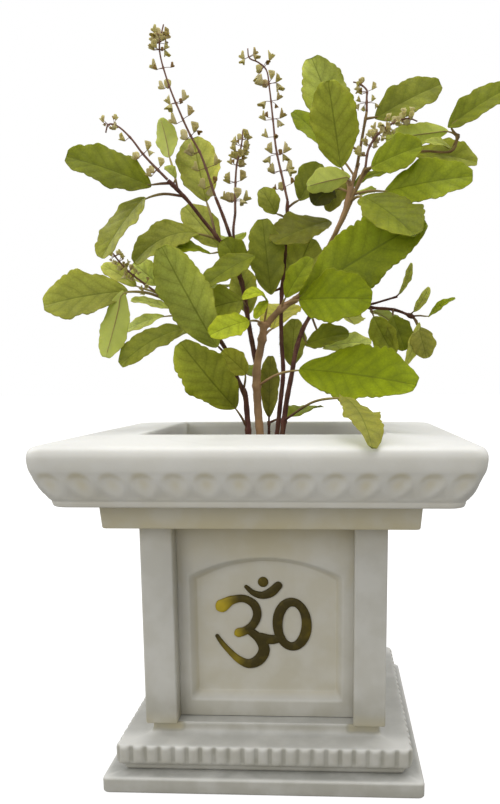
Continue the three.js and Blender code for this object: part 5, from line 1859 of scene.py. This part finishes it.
@dataclass
class Studio:
    """A pale floor, soft light from above, the front and the sides, and the camera.

    The camera's eye is in millimetres. The floor and the lights are in metres.
    """

    frame_width: int = 500
    frame_height: int = 804
    focal_px: float = 754.32
    centre_px: Pair = (300.0, 500.0)
    eye: Point = (39.12, -478.79, 228.2)
    yaw: float = -2.56
    pitch: float = -8.9
    roll: float = -0.22
    floor_reach: float = 12.0
    floor_level: float = -0.0002
    lit_spot: Point = (0.0, 0.0, 0.22)
    # each light: name, place, size and watts
    lights: tuple[tuple[str, Point, float, float], ...] = (
        ("top_light", (0.15, -0.3, 1.6), 1.2, 9.0),
        ("front_light", (-0.9, -1.6, 0.9), 1.0, 7.0),
        ("left_light", (-1.0, 0.2, 1.0), 0.8, 5.0),
        ("right_light", (1.0, 0.2, 1.0), 0.8, 3.0),
    )
    ambient: float = 0.6

    def build(self) -> None:
        """Sets up the camera, the floor, the lights and the world."""
        self._camera()
        self._floor()
        for light in self.lights:
            self._light(*light)
        self._surround()
        bpy.context.scene.view_settings.view_transform = "Standard"
        log.info("studio is set")

    @staticmethod
    def _stand(item: bpy.types.Object, right: Array, up: Array, back: Array, spot: Array | Point) -> None:
        """Turns a camera or light to its axes, stands it at a spot in metres and links it."""
        axes = np.eye(4)
        axes[:3, 0], axes[:3, 1], axes[:3, 2], axes[:3, 3] = right, up, back, spot
        item.matrix_world = Matrix(axes.tolist())
        bpy.context.scene.collection.objects.link(item)

    def _camera(self) -> None:
        """The camera: its axes from yaw, pitch and roll, its shift from the frame's centre."""
        yaw, pitch, roll = (math.radians(angle) for angle in (self.yaw, self.pitch, self.roll))
        level = np.array([math.cos(yaw), -math.sin(yaw), 0.0])
        ahead = math.cos(pitch)
        forward = np.array([math.sin(yaw) * ahead, math.cos(yaw) * ahead, math.sin(pitch)])
        up = np.cross(level, forward)
        right = level * math.cos(roll) + up * math.sin(roll)
        head = -level * math.sin(roll) + up * math.cos(roll)
        data = bpy.data.cameras.new("camera")
        long_side = max(self.frame_width, self.frame_height)
        data.lens = self.focal_px * data.sensor_width / long_side
        data.shift_x = (self.frame_width / 2 - self.centre_px[0]) / long_side
        data.shift_y = (self.centre_px[1] - self.frame_height / 2) / long_side
        data.clip_start, data.clip_end = 0.01, 100.0
        camera = bpy.data.objects.new("camera", data)
        self._stand(camera, right, head, -forward, np.array(self.eye) * MM)
        bpy.context.scene.camera = camera

    def _floor(self) -> None:
        """A wide flat floor just under the pot."""
        reach = self.floor_reach
        mesh = bpy.data.meshes.new("floor")
        corners = ((-reach, -reach), (reach, -reach), (reach, reach), (-reach, reach))
        mesh.from_pydata([(x, y, self.floor_level) for x, y in corners], [], [(0, 1, 2, 3)])
        mesh.materials.append(FloorFinish().material())
        floor = bpy.data.objects.new("floor", mesh)
        bpy.context.scene.collection.objects.link(floor)

    def _light(self, name: str, spot: Point, size: float, watts: float) -> None:
        """A square soft light that looks at the middle of the plant."""
        data = bpy.data.lights.new(name, "AREA")
        data.size, data.energy = size, watts
        back = unit(np.array(spot) - np.array(self.lit_spot))
        right = cross_frame(-back[None, :])[0][0]
        self._stand(bpy.data.objects.new(name, data), right, np.cross(back, right), back, spot)

    def _surround(self) -> None:
        """A white world: dim for what it lights, full white for the camera."""
        world = bpy.data.worlds.new("studio")
        world.use_nodes = True
        tree = world.node_tree
        surround = tree.nodes["Background"]
        seen = tree.nodes.new("ShaderNodeBackground")
        for background, strength in ((surround, self.ambient), (seen, 1.0)):
            background.inputs["Color"].default_value = (1, 1, 1, 1)
            background.inputs["Strength"].default_value = strength
        path = tree.nodes.new("ShaderNodeLightPath")
        mix = tree.nodes.new("ShaderNodeMixShader")
        tree.links.new(path.outputs["Is Camera Ray"], mix.inputs[0])
        tree.links.new(surround.outputs[0], mix.inputs[1])
        tree.links.new(seen.outputs[0], mix.inputs[2])
        tree.links.new(mix.outputs[0], tree.nodes["World Output"].inputs["Surface"])
        bpy.context.scene.world = world


def main() -> None:
    """Builds the studio, the pot, the soil and the plant."""
    logging.basicConfig(level=logging.INFO, format="%(name)s: %(message)s")
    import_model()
    Studio().build()
    MarblePot().build()
    OmSign().build()
    PottingSoil().build()
    leaf, stem, dry = LeafFinish().material(), StemFinish().material(), DryFlowerFinish().material()
    for shoot in (MIDDLE_SHOOT, LEFT_SHOOT, SPIKE_SHOOT, RIGHT_SHOOT, LOW_SHOOT):
        shoot.build(leaf, stem)
    for spike in SPIKES:
        spike.build(dry)


if __name__ == "__main__":
    main()
